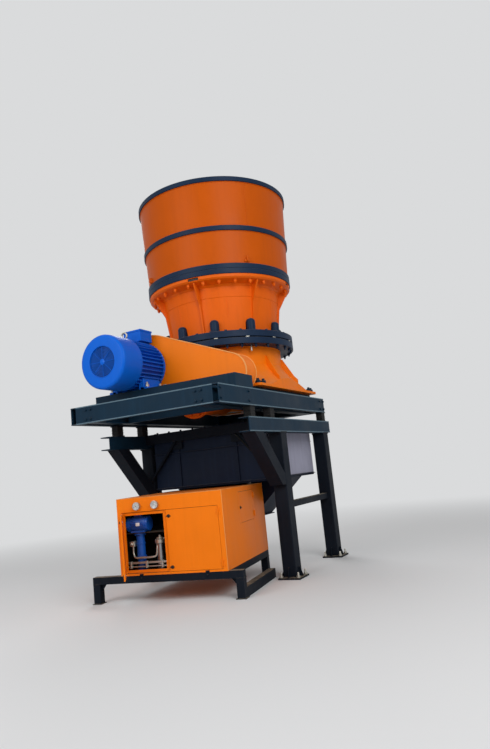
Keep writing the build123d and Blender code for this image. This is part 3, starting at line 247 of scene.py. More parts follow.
def closed(points, faces):
    """Merges points that coincide, drops faces without area, and turns the faces outwards where the
    volume inside them, the sum of each triangle's corner products, is negative."""
    _, first, back = np.unique(np.round(points, 6), axis=0, return_index=True, return_inverse=True)
    points, faces = points[first], back.reshape(-1)[faces]
    merged = faces.copy()
    for k in range(4):
        same = faces[:, k] == faces[:, (k + 1) % 4]
        merged[same] = np.roll(faces, -(k + 1), axis=1)[:, [0, 1, 2, 2]][same]
    a, b, c, _ = merged.T
    faces = merged[(a != b) & (b != c) & (a != c)]
    a, b, c, d = points[faces.T]
    if np.sum(a * np.cross(b, c)) + np.sum(a * np.cross(c, d)) < 0:
        is_triangle = faces[:, 2:3] == faces[:, 3:]
        faces = np.where(is_triangle, faces[:, [1, 0, 2, 2]], faces[:, ::-1])
    return points, faces


def skin(rows, loop=False):
    """A surface over rows of points, (rows, columns, 3): each row is closed on itself and joined to
    the next, and in a loop the last one to the first."""
    rows = np.asarray(rows, float)
    count, columns = rows.shape[:2]
    i, j = np.indices((count if loop else count - 1, columns))
    start, below, beside = i * columns, (i + 1) % count * columns, (j + 1) % columns
    corners = (start + j, start + beside, below + beside, below + j)
    return closed(rows.reshape(-1, 3), np.stack(corners, -1).reshape(-1, 4))


def capped(rows):
    """A surface over rows of points with a flat end at the first and the last row."""
    rows = np.asarray(rows, float)
    ends = rows[[0, -1]].mean(axis=1, keepdims=True) + 0 * rows[[0, -1]]
    return skin(np.concatenate([ends[:1], rows, ends[1:]]))


def lathe(profile, steps=24):
    """A (radius, height) profile turned about +Z: radius times cosine and sine of evenly spaced angles."""
    radius, height = np.asarray(profile, float)[:, :, None].transpose(1, 0, 2)
    angle = turns(steps)
    return capped(np.stack([radius * np.cos(angle), radius * np.sin(angle), height + 0 * angle], -1))


def circle_section(radius, sides=12):
    """A round section: radius times cosine and sine of evenly spaced angles."""
    return radius * np.column_stack([np.cos(turns(sides)), np.sin(turns(sides))])


def rectangle(width, depth, corner):
    """An outline of eight points: a rectangle about the origin with its corners cut."""
    x, y, c = width / 2, depth / 2, corner
    half = np.array([(x, -y + c), (x, y - c), (x - c, y), (-x + c, y)])
    return np.vstack([half, -half])


def slab(low, high, bevel=0.002):
    """A box between two corners with every edge broken: four rows of a cut rectangle, the end ones inset."""
    low, high = np.sort(np.array([low, high], float), axis=0)
    size = high - low
    b = min(bevel, size.min() / 3)
    outer = rectangle(size[0], size[1], b)
    inner = outer * (1 - 2 * b / size[:2])
    rows = [np.column_stack([outline, np.full(8, height)]) for outline, height in
            ((inner, 0), (outer, b), (outer, size[2] - b), (inner, size[2]))]
    return moved(capped(rows), (*(low + size / 2)[:2], low[2]))


def block(x, y, z, half_x, half_y, height, bevel=0.002):
    """A slab by the middle of its foot, half its width and depth, and its height."""
    return slab((x - half_x, y - half_y, z), (x + half_x, y + half_y, z + height), bevel)


def moved(shape, offset):
    """A shape moved by an offset."""
    return shape[0] + np.asarray(offset, float), shape[1]


def turned_over(shape):
    """A shape turned half round about the x axis."""
    return shape[0] * (1, -1, -1), shape[1]


def turned_about(shape, angle, origin=(0, 0, 0)):
    """A shape turned about +Z, then moved to the origin given."""
    return copies(shape, origin, radial_axes(angle))


def copies(shape, origins, axes=np.eye(3)):
    """A shape turned by axes and moved to an origin, for each origin or each set of axes. Where there
    is only one of either, it serves for all."""
    points, faces = shape
    placed = points @ np.reshape(axes, (-1, 3, 3)).transpose(0, 2, 1) + np.reshape(origins, (-1, 1, 3))
    starts = np.arange(len(placed))[:, None, None] * len(points)
    return placed.reshape(-1, 3), (faces + starts).reshape(-1, 4)


def joined(*shapes):
    """Several shapes, or lists of shapes, as one."""
    flat = [shape for entry in shapes for shape in (entry if isinstance(entry, list) else [entry])]
    starts = np.cumsum([0] + [len(points) for points, _ in flat[:-1]])
    faces = [faces + start for (_, faces), start in zip(flat, starts)]
    return np.vstack([points for points, _ in flat]), np.vstack(faces)


def aimed(normals):
    """Axes for each direction: the third column along it, the first level."""
    z = np.atleast_2d(np.asarray(normals, float))
    z = z / np.linalg.norm(z, axis=1, keepdims=True)
    x = np.cross(np.where(np.abs(z[:, 2:]) > 0.9, (1.0, 0.0, 0.0), (0.0, 0.0, 1.0)), z)
    x /= np.linalg.norm(x, axis=1, keepdims=True)
    return np.stack([x, np.cross(z, x), z], -1)


def radial_axes(angles):
    """Axes at each angle: the first outwards, the second along the circle, the third up."""
    c, s, o = np.cos(angles), np.sin(angles), 0 * np.asarray(angles, float)
    return np.stack([np.stack([c, s, o], -1), np.stack([-s, c, o], -1), np.stack([o, o, o + 1], -1)], -1)


def wheel_axes(angles):
    """Axes at each angle round a line along Y: the first outwards, the third along the line."""
    c, s, o = np.cos(angles), np.sin(angles), 0 * angles
    return np.stack([np.stack([c, o, s], -1), np.stack([s, o, -c], -1), np.stack([o, o + 1, o], -1)], -1)


def around(shape, angles):
    """A shape made on the +X side of the axis, repeated about the crusher's axis at each angle."""
    return copies(shape, (0, AXIS_Y, 0), radial_axes(angles))


def circle_places(radius, height, count, start=0.0):
    """Evenly spaced places on a level circle about the crusher's axis, and their outward directions."""
    out = radial_axes(turns(count, start))[:, :, 0]
    return out * radius + (0, AXIS_Y, height), out


def motor_ring(radius, y, count):
    """Evenly spaced places on a circle about the motor's axis, and their outward directions."""
    out = wheel_axes(turns(count))[:, :, 0]
    return out * radius + (MOTOR_X, y, MOTOR_Z), out


def on_motor(shape, y, facing=1):
    """A shape made about +Z, laid along the motor's axis towards the back or the front."""
    return copies(shape, (MOTOR_X, y, MOTOR_Z), aimed((0, facing, 0)))


def in_cabinet(shape):
    """A shape made in the cabinet's own frame, turned and moved to the cabinet."""
    corner = RIGHT_HINGE + radial_axes(CABINET_YAW) @ (HINGE_INSET, HINGE_OFFSET, 0)
    return turned_about(shape, CABINET_YAW, corner * (1, 1, 0))


def on_left_leaf(shape):
    """A shape made on the shut left leaf, swung open with it."""
    hinge = np.array((LEFT_HINGE_X, -HINGE_OFFSET, 0))
    return turned_about(moved(shape, -hinge), -LEFT_LEAF_OPEN, hinge)


def swept(path, section, level=UP, loop=False):
    """A section of (across, over) points carried along a line. Across is the level direction crossed
    with the line's own, and over stands at right angles to both. A loop joins its end to its start."""
    path, section = np.asarray(path, float), np.asarray(section, float)
    along = np.roll(path, -1, axis=0) - np.roll(path, 1, axis=0) if loop else np.gradient(path, axis=0)
    along /= np.linalg.norm(along, axis=1, keepdims=True)
    across = np.cross(np.broadcast_to(level, along.shape), along)
    across /= np.linalg.norm(across, axis=1, keepdims=True)
    over = np.cross(along, across)
    rows = path[:, None] + section[..., :1] * across[:, None] + section[..., 1:] * over[:, None]
    return skin(rows, loop=True) if loop else capped(rows)


def smooth_path(points, steps=8):
    """A smooth line through points: a cubic through each pair, its slopes taken from the neighbours."""
    p = np.asarray(points, float)
    padded = np.vstack([2 * p[0] - p[1], p, 2 * p[-1] - p[-2]])
    a, b, c, d = (padded[k:len(p) - 1 + k, None] for k in range(4))
    t = np.linspace(0, 1, steps, endpoint=False)[:, None]
    line = 0.5 * (2 * b + (c - a) * t + (2 * a - 5 * b + 4 * c - d) * t**2 + (3 * b - a - 3 * c + d) * t**3)
    return np.vstack([line.reshape(-1, 3), p[-1]])


def bead(path, size, level=UP, loop=False):
    """A weld bead along a line: a six-sided bar whose radius swells and sinks with a cosine. Its
    ripples are drawn some five times as long as real ones, so that they show."""
    ripple = 0.03
    path = np.asarray(path, float)
    path = np.vstack([path, path[:1]]) if loop else path
    travelled = np.concatenate([[0], np.cumsum(np.linalg.norm(np.diff(path, axis=0), axis=1))])
    steps = max(6, int(travelled[-1] / ripple * 2))
    s = np.linspace(0, travelled[-1], steps, endpoint=not loop)
    line = np.column_stack([np.interp(s, travelled, path[:, k]) for k in range(3)])
    swell = 0.85 + 0.15 * np.cos(2 * np.pi * s / ripple)
    return swept(line, circle_section(size, 6) * swell[:, None, None], level, loop)


def square_bead(x, y, z, half, size):
    """A weld bead round a square post."""
    corners = ((1, 1), (-1, 1), (-1, -1), (1, -1))
    return bead([(x + sx * half, y + sy * half, z) for sx, sy in corners], size, loop=True)


def rod(start, end, radius, sides=12):
    """A round bar between two points with slightly broken ends."""
    along = np.subtract(end, start)
    length, c = np.linalg.norm(along), radius * 0.12
    profile = [(radius - c, 0), (radius, c), (radius, length - c), (radius - c, length)]
    return copies(lathe(profile, sides), start, aimed(along))


def plate(outline, thickness, origin, x_axis, y_axis):
    """A flat plate: an outline of (x, y) points in a plane, made thick evenly on both its sides."""
    flat = np.asarray(origin, float) + np.asarray(outline, float) @ np.array([x_axis, y_axis], float)
    normal = np.cross(x_axis, y_axis) * thickness / 2
    return capped([flat - normal, flat + normal])


def gusset(reach, rise, toe=0.02):
    """The outline of a triangular gusset with its two sharp tips cut off."""
    return [(0, 0), (reach, 0), (reach, toe), (toe, rise), (0, rise)]


def channel_bar(low, high, axis, side, web=0.012):
    """A channel that fills a box: its web on the box's low or high face along an axis, and two flanges."""
    low, high = np.array(low, float), np.array(high, float)
    web_low, web_high, foot_low, foot_high = low.copy(), high.copy(), low.copy(), high.copy()
    if side < 0:
        web_high[axis] = foot_low[axis] = low[axis] + web
    else:
        web_low[axis] = foot_high[axis] = high[axis] - web
    foot_high[2] = low[2] + FLANGE_THICK
    foot = slab(foot_low, foot_high, 0.003)
    return joined(slab(web_low, web_high, 0.003), foot, moved(foot, (0, 0, high[2] - foot_high[2])))


def hex_bolt(across, height, point=0.0):
    """A hexagon on a washer, with its stud's end standing out where a point is given."""
    corner, t, stud = across / math.sqrt(3), across * 0.12, across * 0.33
    top = t + height
    shapes = [lathe([(corner, t), (corner, t + height * 0.86), (corner * 0.84, top)], 6),
              lathe([(across * 0.62, 0), (across * 0.62, t)], 10)]
    if point:
        shapes.append(lathe([(stud, t), (stud, top + point * 0.8), (stud * 0.7, top + point)], 8))
    return joined(shapes)


def bolted(across, places, normals=UP, point=0.0):
    """Hexagon bolts at places, all heads along one direction, or each along its own."""
    return copies(hex_bolt(across, across * 0.6, point), places, aimed(normals))


def screwed(across, places, normals=UP):
    """Domed screws at places: a low eight-sided dome each."""
    r = across / 2
    return copies(lathe([(r, -0.001), (r, r * 0.35), (r * 0.6, r * 0.75)], 8), places, aimed(normals))


def latch():
    """A quarter-turn latch about +Z: a domed rose and a thin wing across it."""
    return joined(lathe([(0.024, 0), (0.024, 0.004), (0.02, 0.007)], 20),
                  slab((-0.034, -0.006, 0.006), (0.034, 0.006, 0.018), 0.003))


def bin_radius(z):
    """Outer radius of the bin at a height: it narrows evenly downwards."""
    foot_radius = FLANGE_RADIUS - 0.028
    return foot_radius + (BIN_HIGH[0] - foot_radius) * (z - BIN_FOOT) / (BIN_TOP - BIN_FOOT)


def body_radius(z):
    """Outer radius of the top shell's tapered body below its seam."""
    return BODY_TOP_RADIUS - BODY_TAPER * (BODY_TOP - z) - SEAM_STEP


# Materials


def add_node(tree, kind, inputs=None, **settings):
    """Adds a shader node, sets its settings, and feeds each socket a value, another node's output or
    another node's first output."""
    node = tree.nodes.new("ShaderNode" + kind)
    for name, value in settings.items():
        setattr(node, name, value)
    for socket, value in (inputs or {}).items():
        source = value.outputs[0] if isinstance(value, bpy.types.Node) else value
        if isinstance(source, bpy.types.NodeSocket):
            tree.links.new(source, node.inputs[socket])
        else:
            node.inputs[socket].default_value = source
    return node


def blank_tree(owner):
    """Empties the node tree of a material or a world and gives the function that adds nodes to it."""
    owner.use_nodes = True
    owner.node_tree.nodes.clear()
    return partial(add_node, owner.node_tree)


def shade(colour, factor):
    """A linear colour made lighter or darker by a factor."""
    return (*[min(1.0, c * factor) for c in colour[:3]], 1.0)


def coated(name, colour, dust_colour, roughness, gloss=0.5, coat=0.0, grain=0.004, grain_depth=0.0001,
           wave=0.5, wave_depth=0.0, fade=0.12, dust=0.35, metallic=0.0, run=0.6):
    """Paint or bare metal with a fine grain, a slow wave of the sheet, a blotchy fade, rain streaks and
    dust on what faces up. Grain and wave are lengths in metres, and depths are how far they stand out.
    The grain is drawn several times as coarse as the real one, so that it shows."""
    material = bpy.data.materials.new(name)
    add = blank_tree(material)
    place = add("TexCoord").outputs["Object"]
    blotch = add("TexNoise", {"Vector": place, "Scale": 1.6, "Detail": 6.0, "Roughness": 0.6})
    patch = add("TexNoise", {"Vector": place, "Scale": 9.0, "Detail": 8.0, "Roughness": 0.7})
    squeezed = add("Mapping", {"Vector": place, "Scale": (14.0, 14.0, 0.7)})
    streak = add("TexNoise", {"Vector": squeezed, "Scale": 1.0, "Detail": 4.0})
    slow = add("TexNoise", {"Vector": place, "Scale": 1 / wave, "Detail": 1.0})
    fine = add("TexNoise", {"Vector": place, "Scale": 1 / grain, "Detail": 3.0})
    tone = add("Mix", {0: blotch, 6: shade(colour, 1 - fade), 7: shade(colour, 1 + fade)}, data_type="RGBA")
    share = add("MapRange", {0: streak, 1: 0.5, 2: 0.8, 3: 0.0, 4: fade * 1.6})
    streaked = add("Mix", {0: share, 6: tone.outputs[2], 7: shade(colour, run)}, data_type="RGBA")
    facing = add("SeparateXYZ", {0: add("NewGeometry").outputs["Normal"]}).outputs[2]
    upward = add("MapRange", {0: facing, 1: 0.45, 2: 0.95, 3: 0.006, 4: dust})
    patchy = add("MapRange", {0: patch, 1: 0.35, 2: 0.65, 3: 0.25, 4: 1.0})
    settled = add("Math", {0: upward, 1: patchy}, operation="MULTIPLY")
    dusty = add("Mix", {0: settled, 6: streaked.outputs[2], 7: dust_colour}, data_type="RGBA")
    rough = add("MapRange", {0: blotch, 1: 0.3, 2: 0.7, 3: roughness * 0.85, 4: roughness * 1.2})
    rougher = add("Math", {0: settled, 1: 0.6, 2: rough}, operation="MULTIPLY_ADD")
    waved = add("Bump", {"Height": slow, "Distance": wave_depth, "Strength": 1.0})
    bumped = add("Bump", {"Height": fine, "Distance": grain_depth, "Strength": 1.0, "Normal": waved})
    shader = add("BsdfPrincipled", {
        "Base Color": dusty.outputs[2], "Roughness": rougher, "Metallic": metallic,
        "Specular IOR Level": gloss, "Coat Weight": coat, "Coat Roughness": 0.12, "Normal": bumped,
    })
    add("OutputMaterial", {0: shader})
    return material


def window_glass(name):
    """Flat window glass: clear, with a sharp reflection and the index of soda-lime glass."""
    material = bpy.data.materials.new(name)
    add = blank_tree(material)
    add("OutputMaterial", {0: add("BsdfPrincipled", {
        "Base Color": (1.0, 1.0, 1.0, 1.0), "Roughness": 0.03, "IOR": 1.52, "Transmission Weight": 1.0,
    })})
    return material


# What castings, small iron parts and structural beams have in common under their paint
CAST_SKIN = {
    "gloss": 0.16, "grain": 0.016, "grain_depth": 0.0012, "wave": 0.2, "wave_depth": 0.002, "dust": 0.3,
}
IRON_SKIN = {"grain": 0.006, "grain_depth": 0.0003}
BEAM_SKIN = {"grain": 0.008, "grain_depth": 0.0004}
ROLLED_BEAM = {**BEAM_SKIN, "wave": 0.3, "wave_depth": 0.001, "fade": 0.3, "dust": 0.45}

# Each finish: its record slot, the material's name, its colour as a property or an sRGB hex, its
# roughness and its other settings. The comment over a row says what it gives the eye.
FINISHES = {
    # Two-pack enamel: a soft shine over slow waves between the folds
    "orange_enamel": ("orange_enamel", "sprayed enamel on folded sheet", "orange", 0.42, {
        "gloss": 0.16, "wave": 0.45, "wave_depth": 0.004, "fade": 0.08, "dust": 0.2}),
    # The same enamel, darker and redder: the light runs down it in broad soft bands
    "bin_enamel": ("orange_enamel", "sprayed enamel on rolled plate", "bin", 0.42, {
        "gloss": 0.09, "wave": 0.6, "wave_depth": 0.006, "fade": 0.10, "dust": 0.25}),
    # The same enamel on a sand casting: the shine breaks up on the casting's grain
    "casting_enamel": ("orange_enamel", "sprayed enamel on casting", "casting", 0.5, CAST_SKIN),
    # The casting's enamel on the flared lower shell in the guard's lighter, yellower orange: painted light
    # that lifts it out of the clamp flange's shade
    "lit_casting_enamel": ("orange_enamel", "fresh enamel on casting", "orange", 0.5, {
        **CAST_SKIN, "fade": 0.1}),
    # Enamel rubbed thin and dusty along folded edges: paler than the sheet it borders
    "rubbed_enamel": ("orange_enamel", "rubbed enamel on an edge", "edge", 0.5, {
        **IRON_SKIN, "gloss": 0.4, "fade": 0.2, "dust": 0.3}),
    # Dark enamel on machined rings: a soft shine with a faint turned grain
    "navy_enamel": ("navy_enamel", "dark enamel on machined steel", "navy", 0.45, {
        "gloss": 0.12, "grain": 0.01, "grain_depth": 0.0004, "fade": 0.22, "dust": 0.3}),
    # Factory enamel on grey iron and pressed sheet: saturated and glossy
    "motor_enamel": ("motor_enamel", "motor enamel on iron", "motor", 0.4, {
        **IRON_SKIN, "gloss": 0.11, "coat": 0.03, "wave": 0.25, "wave_depth": 0.001, "fade": 0.08,
        "dust": 0.15}),
    # The motor's enamel darkened behind its grille: painted shade for the fan cover's recess
    "shaded_motor_enamel": ("motor_enamel", "dulled motor enamel", "motor", 0.6, {
        **IRON_SKIN, "gloss": 0.2, "fade": 0.15, "dust": 0.1}),
    # Structural paint: satin, with dust along the flanges
    "frame_enamel": ("frame_enamel", "structural paint on rolled beams", "frame", 0.5, {
        **ROLLED_BEAM, "gloss": 0.1, "run": 1.5}),
    # The same paint, paler: a thin pale line along the edges, a painted highlight where they catch the light
    "edge_highlight": ("frame_enamel", "worn structural paint on an edge", "worn", 0.55, {
        **BEAM_SKIN, "gloss": 0.3, "fade": 0.35, "dust": 0.6}),
    # The same paint, near black, on the stand and the skid
    "stand_enamel": ("stand_enamel", "structural paint on the stand", "stand", 0.55, {
        **ROLLED_BEAM, "gloss": 0.08, "run": 1.6}),
    # Paint on the hopper: satin, with slow waves between the welds and scuffs from stone
    "chute_plate": ("chute_plate", "paint on rolled plate", "chute", 0.5, {
        "gloss": 0.1, "grain": 0.02, "grain_depth": 0.0006, "wave": 0.5, "wave_depth": 0.006, "fade": 0.35,
        "dust": 0.45, "run": 1.7}),
    # Grey primer on plate that stone dust has dulled: flat and slightly mauve
    "dusty_primer": ("chute_plate", "dusty primer on plate", "#9C9CAE", 0.7, {
        "gloss": 0.15, "grain": 0.02, "grain_depth": 0.0005, "wave": 0.4, "wave_depth": 0.003, "fade": 0.25,
        "dust": 0.5, "run": 0.7}),
    # Cast manganese steel: a coarse dull cast skin
    "manganese_steel": ("manganese_steel", "cast manganese steel", "manganese", 0.6, {
        "grain": 0.02, "grain_depth": 0.002, "wave": 0.2, "wave_depth": 0.004, "fade": 0.3, "dust": 0.6,
        "metallic": 0.7}),
    # Wear plate that stone has scoured: dull steel under dust, with rust in the lows
    "worn_plate": ("manganese_steel", "stone-worn steel plate", "#6E5B4C", 0.55, {
        "grain": 0.012, "grain_depth": 0.0008, "wave": 0.15, "wave_depth": 0.002, "fade": 0.3, "dust": 0.6,
        "metallic": 0.5}),
    # Bare turned steel: bright, with a soft sheen
    "shaft_steel": ("shaft_steel", "turned steel", "steel", 0.3, {"fade": 0.1, "dust": 0.2, "metallic": 1.0}),
    # Zinc-plated steel: pale, slightly warm and mottled
    "gauge_steel": ("gauge_steel", "zinc plate on steel", "zinc", 0.42, {
        "grain": 0.006, "grain_depth": 0.0002, "fade": 0.18, "dust": 0.2, "metallic": 0.85}),
    # Moulded rubber: dark and matt with a chalky bloom
    "mount_rubber": ("mount_rubber", "moulded rubber", "rubber", 0.75, {
        "gloss": 0.25, "grain": 0.003, "grain_depth": 0.0002, "fade": 0.2, "dust": 0.5}),
    # Enamel on small castings: glossy, with a fine cast grain
    "pump_enamel": ("pump_enamel", "pump enamel on castings", "pump", 0.36, {
        "gloss": 0.35, "grain_depth": 0.0003, "fade": 0.15, "dust": 0.25}),
    # Near-black matt paint: the own colour of latches and gauge marks, and painted shade on the sheets inside
    # the cabinet's bay and the top shell's slots
    "dark_paint_and_shade": ("stand_enamel", "dark oily paint", "#1A1510", 0.5, {
        "gloss": 0.3, "fade": 0.3, "dust": 0.15}),
    # Printed card behind a gauge's glass: plain white and matt
    "dial_card": ("gauge_steel", "printed white card", "#E4E6E6", 0.6, {
        "gloss": 0.3, "fade": 0.03, "dust": 0.0}),
    # Flat window glass: clear, with a sharp reflection
    "gauge_glass": ("gauge_steel", "gauge window glass", None, None, None),
}
# How far a finish darkens its colour, here as painted shade, and the finishes of the nodes that don't take
# their slot's own
SHADED = {"shaded_motor_enamel": 0.32}
NODE_FINISHES = {
    "feed_bin": "bin_enamel",
    "top_shell": "casting_enamel",
    # The lower shell takes the lighter enamel as painted light
    "bottom_shell": "lit_casting_enamel",
    "countershaft_housing": "casting_enamel",
    "spider": "casting_enamel",
    "spider_cap": "casting_enamel",
    "bearer_beams": "frame_enamel",
}
made_finishes = {}


def finish(key):
    """The material for a finish, made once."""
    if key not in made_finishes:
        colours = bpy.context.scene.crusher_colours
        _, name, source, roughness, settings = FINISHES[key]
        if source is None:
            made_finishes[key] = window_glass(name)
        else:
            colour = linear(source) if source.startswith("#") else tuple(getattr(colours, source))
            colour = shade(colour, SHADED.get(key, 1.0))
            made_finishes[key] = coated(name, colour, tuple(colours.dust), roughness, **settings)
    return made_finishes[key]


def linked(name, data):
    """A new object in the scene."""
    obj = bpy.data.objects.new(name, data)
    bpy.context.scene.collection.objects.link(obj)
    return obj


def piece(name, shape, finish_key, body="root"):
    """Puts a shape, or a list of shapes, in the scene as one mesh with its finish, riding on a body."""
    points, faces = joined(shape)
    is_triangle = faces[:, 2] == faces[:, 3]
    polygons = faces[is_triangle][:, :3].tolist() + faces[~is_triangle].tolist()
    mesh = bpy.data.meshes.new(name)
    mesh.from_pydata(points.tolist(), [], polygons)
    mesh.polygons.foreach_set("use_smooth", np.ones(len(polygons), bool))
    mesh.set_sharp_from_angle(angle=math.radians(32))
    mesh.materials.append(finish(finish_key))
    mesh.update()
    obj = linked(name, mesh)
    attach(obj, body)
    return obj


def cabinet_piece(name, shape, finish_key, body="root"):
    """A piece whose shape is made in the cabinet's own frame."""
    return piece(name, in_cabinet(joined(shape)), finish_key, body)


# Operators


class CRUSHER_OT_stage(bpy.types.Operator):
    """Lays the floor, hangs the lamps and places the camera"""

    bl_idname = "crusher.stage"
    bl_label = "Stage"

    def execute(self, context):
        scene = context.scene
        stage = scene.crusher_stage
        scene.view_settings.view_transform = "Standard"
        colour = tuple(scene.crusher_colours.floor)
        self.lay_floor(colour)
        scene.world = self.light_world(colour, stage.world_strength)
        self.hang_lamp("key_lamp", (9.0, -7.5, 8.0), stage.key_power)
        self.hang_lamp("fill_lamp", (-2.5, -11.5, 7.0), stage.fill_power)
        self.hang_lamp("rim_lamp", (-6.0, 8.5, 10.5), stage.rim_power)
        scene.camera = self.place_camera(stage)
        return {"FINISHED"}

    def looked_at(self, add):
        """One where the camera, a reflection or a view through glass meets the surface, else zero."""
        rays = add("LightPath").outputs
        seen = add("Math", {0: rays["Is Camera Ray"], 1: rays["Is Glossy Ray"]}, operation="MAXIMUM")
        return add("Math", {0: seen, 1: rays["Is Transmission Ray"]}, operation="MAXIMUM")

    def lay_floor(self, colour):
        """A flat disc that fades into the background's colour well away from the object."""
        radius, fade_start, fade_end = 90.0, 5.5, 15.0
        outline = np.column_stack([circle_section(radius, 96), np.zeros(96)])
        mesh = bpy.data.meshes.new("floor")
        mesh.from_pydata(outline.tolist(), [], [list(range(len(outline)))])
        floor = linked("floor", mesh)
        material = bpy.data.materials.new("matt studio floor")
        add = blank_tree(material)
        far = add("VectorMath", {0: add("TexCoord").outputs["Object"]}, operation="LENGTH").outputs["Value"]
        share = add("MapRange", {0: far, 1: fade_start, 2: fade_end}, interpolation_type="SMOOTHSTEP")
        shown = add("Math", {0: share, 1: self.looked_at(add)}, operation="MULTIPLY")
        matt = add("BsdfDiffuse", {"Color": colour})
        pale = add("Emission", {"Color": colour, "Strength": 1.0})
        add("OutputMaterial", {0: add("MixShader", {0: shown, 1: matt, 2: pale})})
        mesh.materials.append(material)

    def light_world(self, colour, strength):
        """Even light all round, and the floor's colour where the camera or a reflection sees past it."""
        world = bpy.data.worlds.new("studio")
        add = blank_tree(world)
        light = add("Background", {"Color": (1, 1, 1, 1), "Strength": strength})
        pale = add("Background", {"Color": colour, "Strength": 1.0})
        add("OutputWorld", {0: add("MixShader", {0: self.looked_at(add), 1: light, 2: pale})})
        return world

    def hang_lamp(self, name, place, power):
        """A square soft lamp at a place from the crusher's axis, aimed at the middle of the machine."""
        middle = (0, 0, 3.0)
        lamp = bpy.data.lights.new(name, "AREA")
        lamp.shape = "SQUARE"
        lamp.size = 6.0
        lamp.energy = power
        self.put(linked(name, lamp), aimed(np.subtract(place, middle))[0], place)

    def place_camera(self, stage):
        """The camera at its place, turned by heading, elevation and lean, one after the other."""
        camera = bpy.data.cameras.new("camera")
        camera.sensor_fit = "VERTICAL"
        camera.sensor_height = 36.0
        camera.lens = stage.lens
        tilt = math.pi / 2 + stage.elevation
        c, s = math.cos(tilt), math.sin(tilt)
        lift = np.array([(1, 0, 0), (0, c, -s), (0, s, c)])
        obj = linked("camera", camera)
        self.put(obj, radial_axes(stage.azimuth) @ lift @ radial_axes(stage.roll), stage.camera_place)
        return obj

    def put(self, obj, axes, place):
        """Places a lamp or the camera by its axes and its place from the crusher's axis on the ground."""
        x, y, z = place
        origin = (x, y + AXIS_Y, z)
        obj.matrix_world = Matrix([[*axes[i], origin[i]] for i in range(3)] + [[0, 0, 0, 1]])


class CRUSHER_OT_finishes(bpy.types.Operator):
    """Gives every carried-over solid the finish of its record slot, or the finish that NODE_FINISHES lists
    for it
    """

    bl_idname = "crusher.finishes"
    bl_label = "Finishes"

    def execute(self, context):
        for name, node in frame["nodes"].items():
            slot = node.material_slots[0].material.name.split(".")[0]
            node.material_slots[0].material = finish(NODE_FINISHES.get(name, slot))
        return {"FINISHED"}


class CRUSHER_OT_bin_fittings(bpy.types.Operator):
    """Weld seams, lugs and the bolted wear plates of the feed bin"""

    bl_idname = "crusher.bin_fittings"
    bl_label = "Bin fittings"

    def execute(self, context):
        weld = context.scene.crusher_sizes.weld
        rim_foot, band_top, foot = BIN_TOP - 0.08, BIN_TOP - 0.85, BIN_FOOT + 0.09
        band_foot = band_top - 0.085
        rings = (rim_foot - 0.004, band_top + 0.004, band_foot - 0.004, FLANGE_TOP + 0.004)
        seams = [bead(circle_places(bin_radius(z) + 0.003, z, RING_STEPS)[0], weld, loop=True) for z in rings]
        for degrees, ends in ((-36, (band_top, rim_foot)), (144, (band_top, rim_foot)),
                              (-152, (foot, band_foot)), (28, (foot, band_foot))):
            out = radial_axes(math.radians(degrees))[:, 0]
            seams.append(bead([out * bin_radius(z) + (0, AXIS_Y, z) for z in ends], weld * 0.8, out))
        piece("bin_welds", seams, "bin_enamel")
        lug = joined(slab((1.272, -0.05, 5.09), (1.3, 0.05, 5.14), 0.006),
                     slab((1.27, -0.012, 5.1), (1.325, 0.012, 5.19), 0.005))
        piece("bin_lugs", around(lug, turns(4, math.radians(-38.6))), "bin_enamel")
        plate_turn = 0.13
        courses = [self.course(BIN_FOOT + 0.1, BIN_TOP - 0.86, 0.0),
                   self.course(BIN_TOP - 0.85, BIN_TOP - 0.09, plate_turn)]
        piece("bin_wear_plates", courses, "worn_plate")
        heads = [self.plate_bolts(BIN_FOOT + 0.25, 0.0), self.plate_bolts(BIN_TOP - 1.05, 0.0),
                 self.plate_bolts(BIN_TOP - 0.7, plate_turn), self.plate_bolts(BIN_TOP - 0.25, plate_turn)]
        piece("bin_plate_bolts", heads, "worn_plate")
        return {"FINISHED"}

    def course(self, foot, top, start):
        """Twelve curved plates inside the bin: a four-cornered section, its radii set in from the bin's
        at foot and top, carried along a twelfth of the circle."""
        gap = 0.006
        height = np.array([foot, foot, top, top])
        radius = bin_radius(height) - (0.026, 0.014, 0.014, 0.026)
        angle = np.linspace(gap / 2, np.pi / 6 - gap / 2, 12)[:, None]
        rows = np.stack([np.cos(angle) * radius, np.sin(angle) * radius, height + 0 * angle], -1)
        return around(capped(rows), turns(12, start))

    def plate_bolts(self, z, start):
        """A row of low bolt heads on the wear plates, near each plate's two sides."""
        rows = [circle_places(bin_radius(z) - 0.026, z, 12, start + offset) for offset in (0.1, 0.424)]
        return joined([screwed(0.045, places, -out) for places, out in rows])


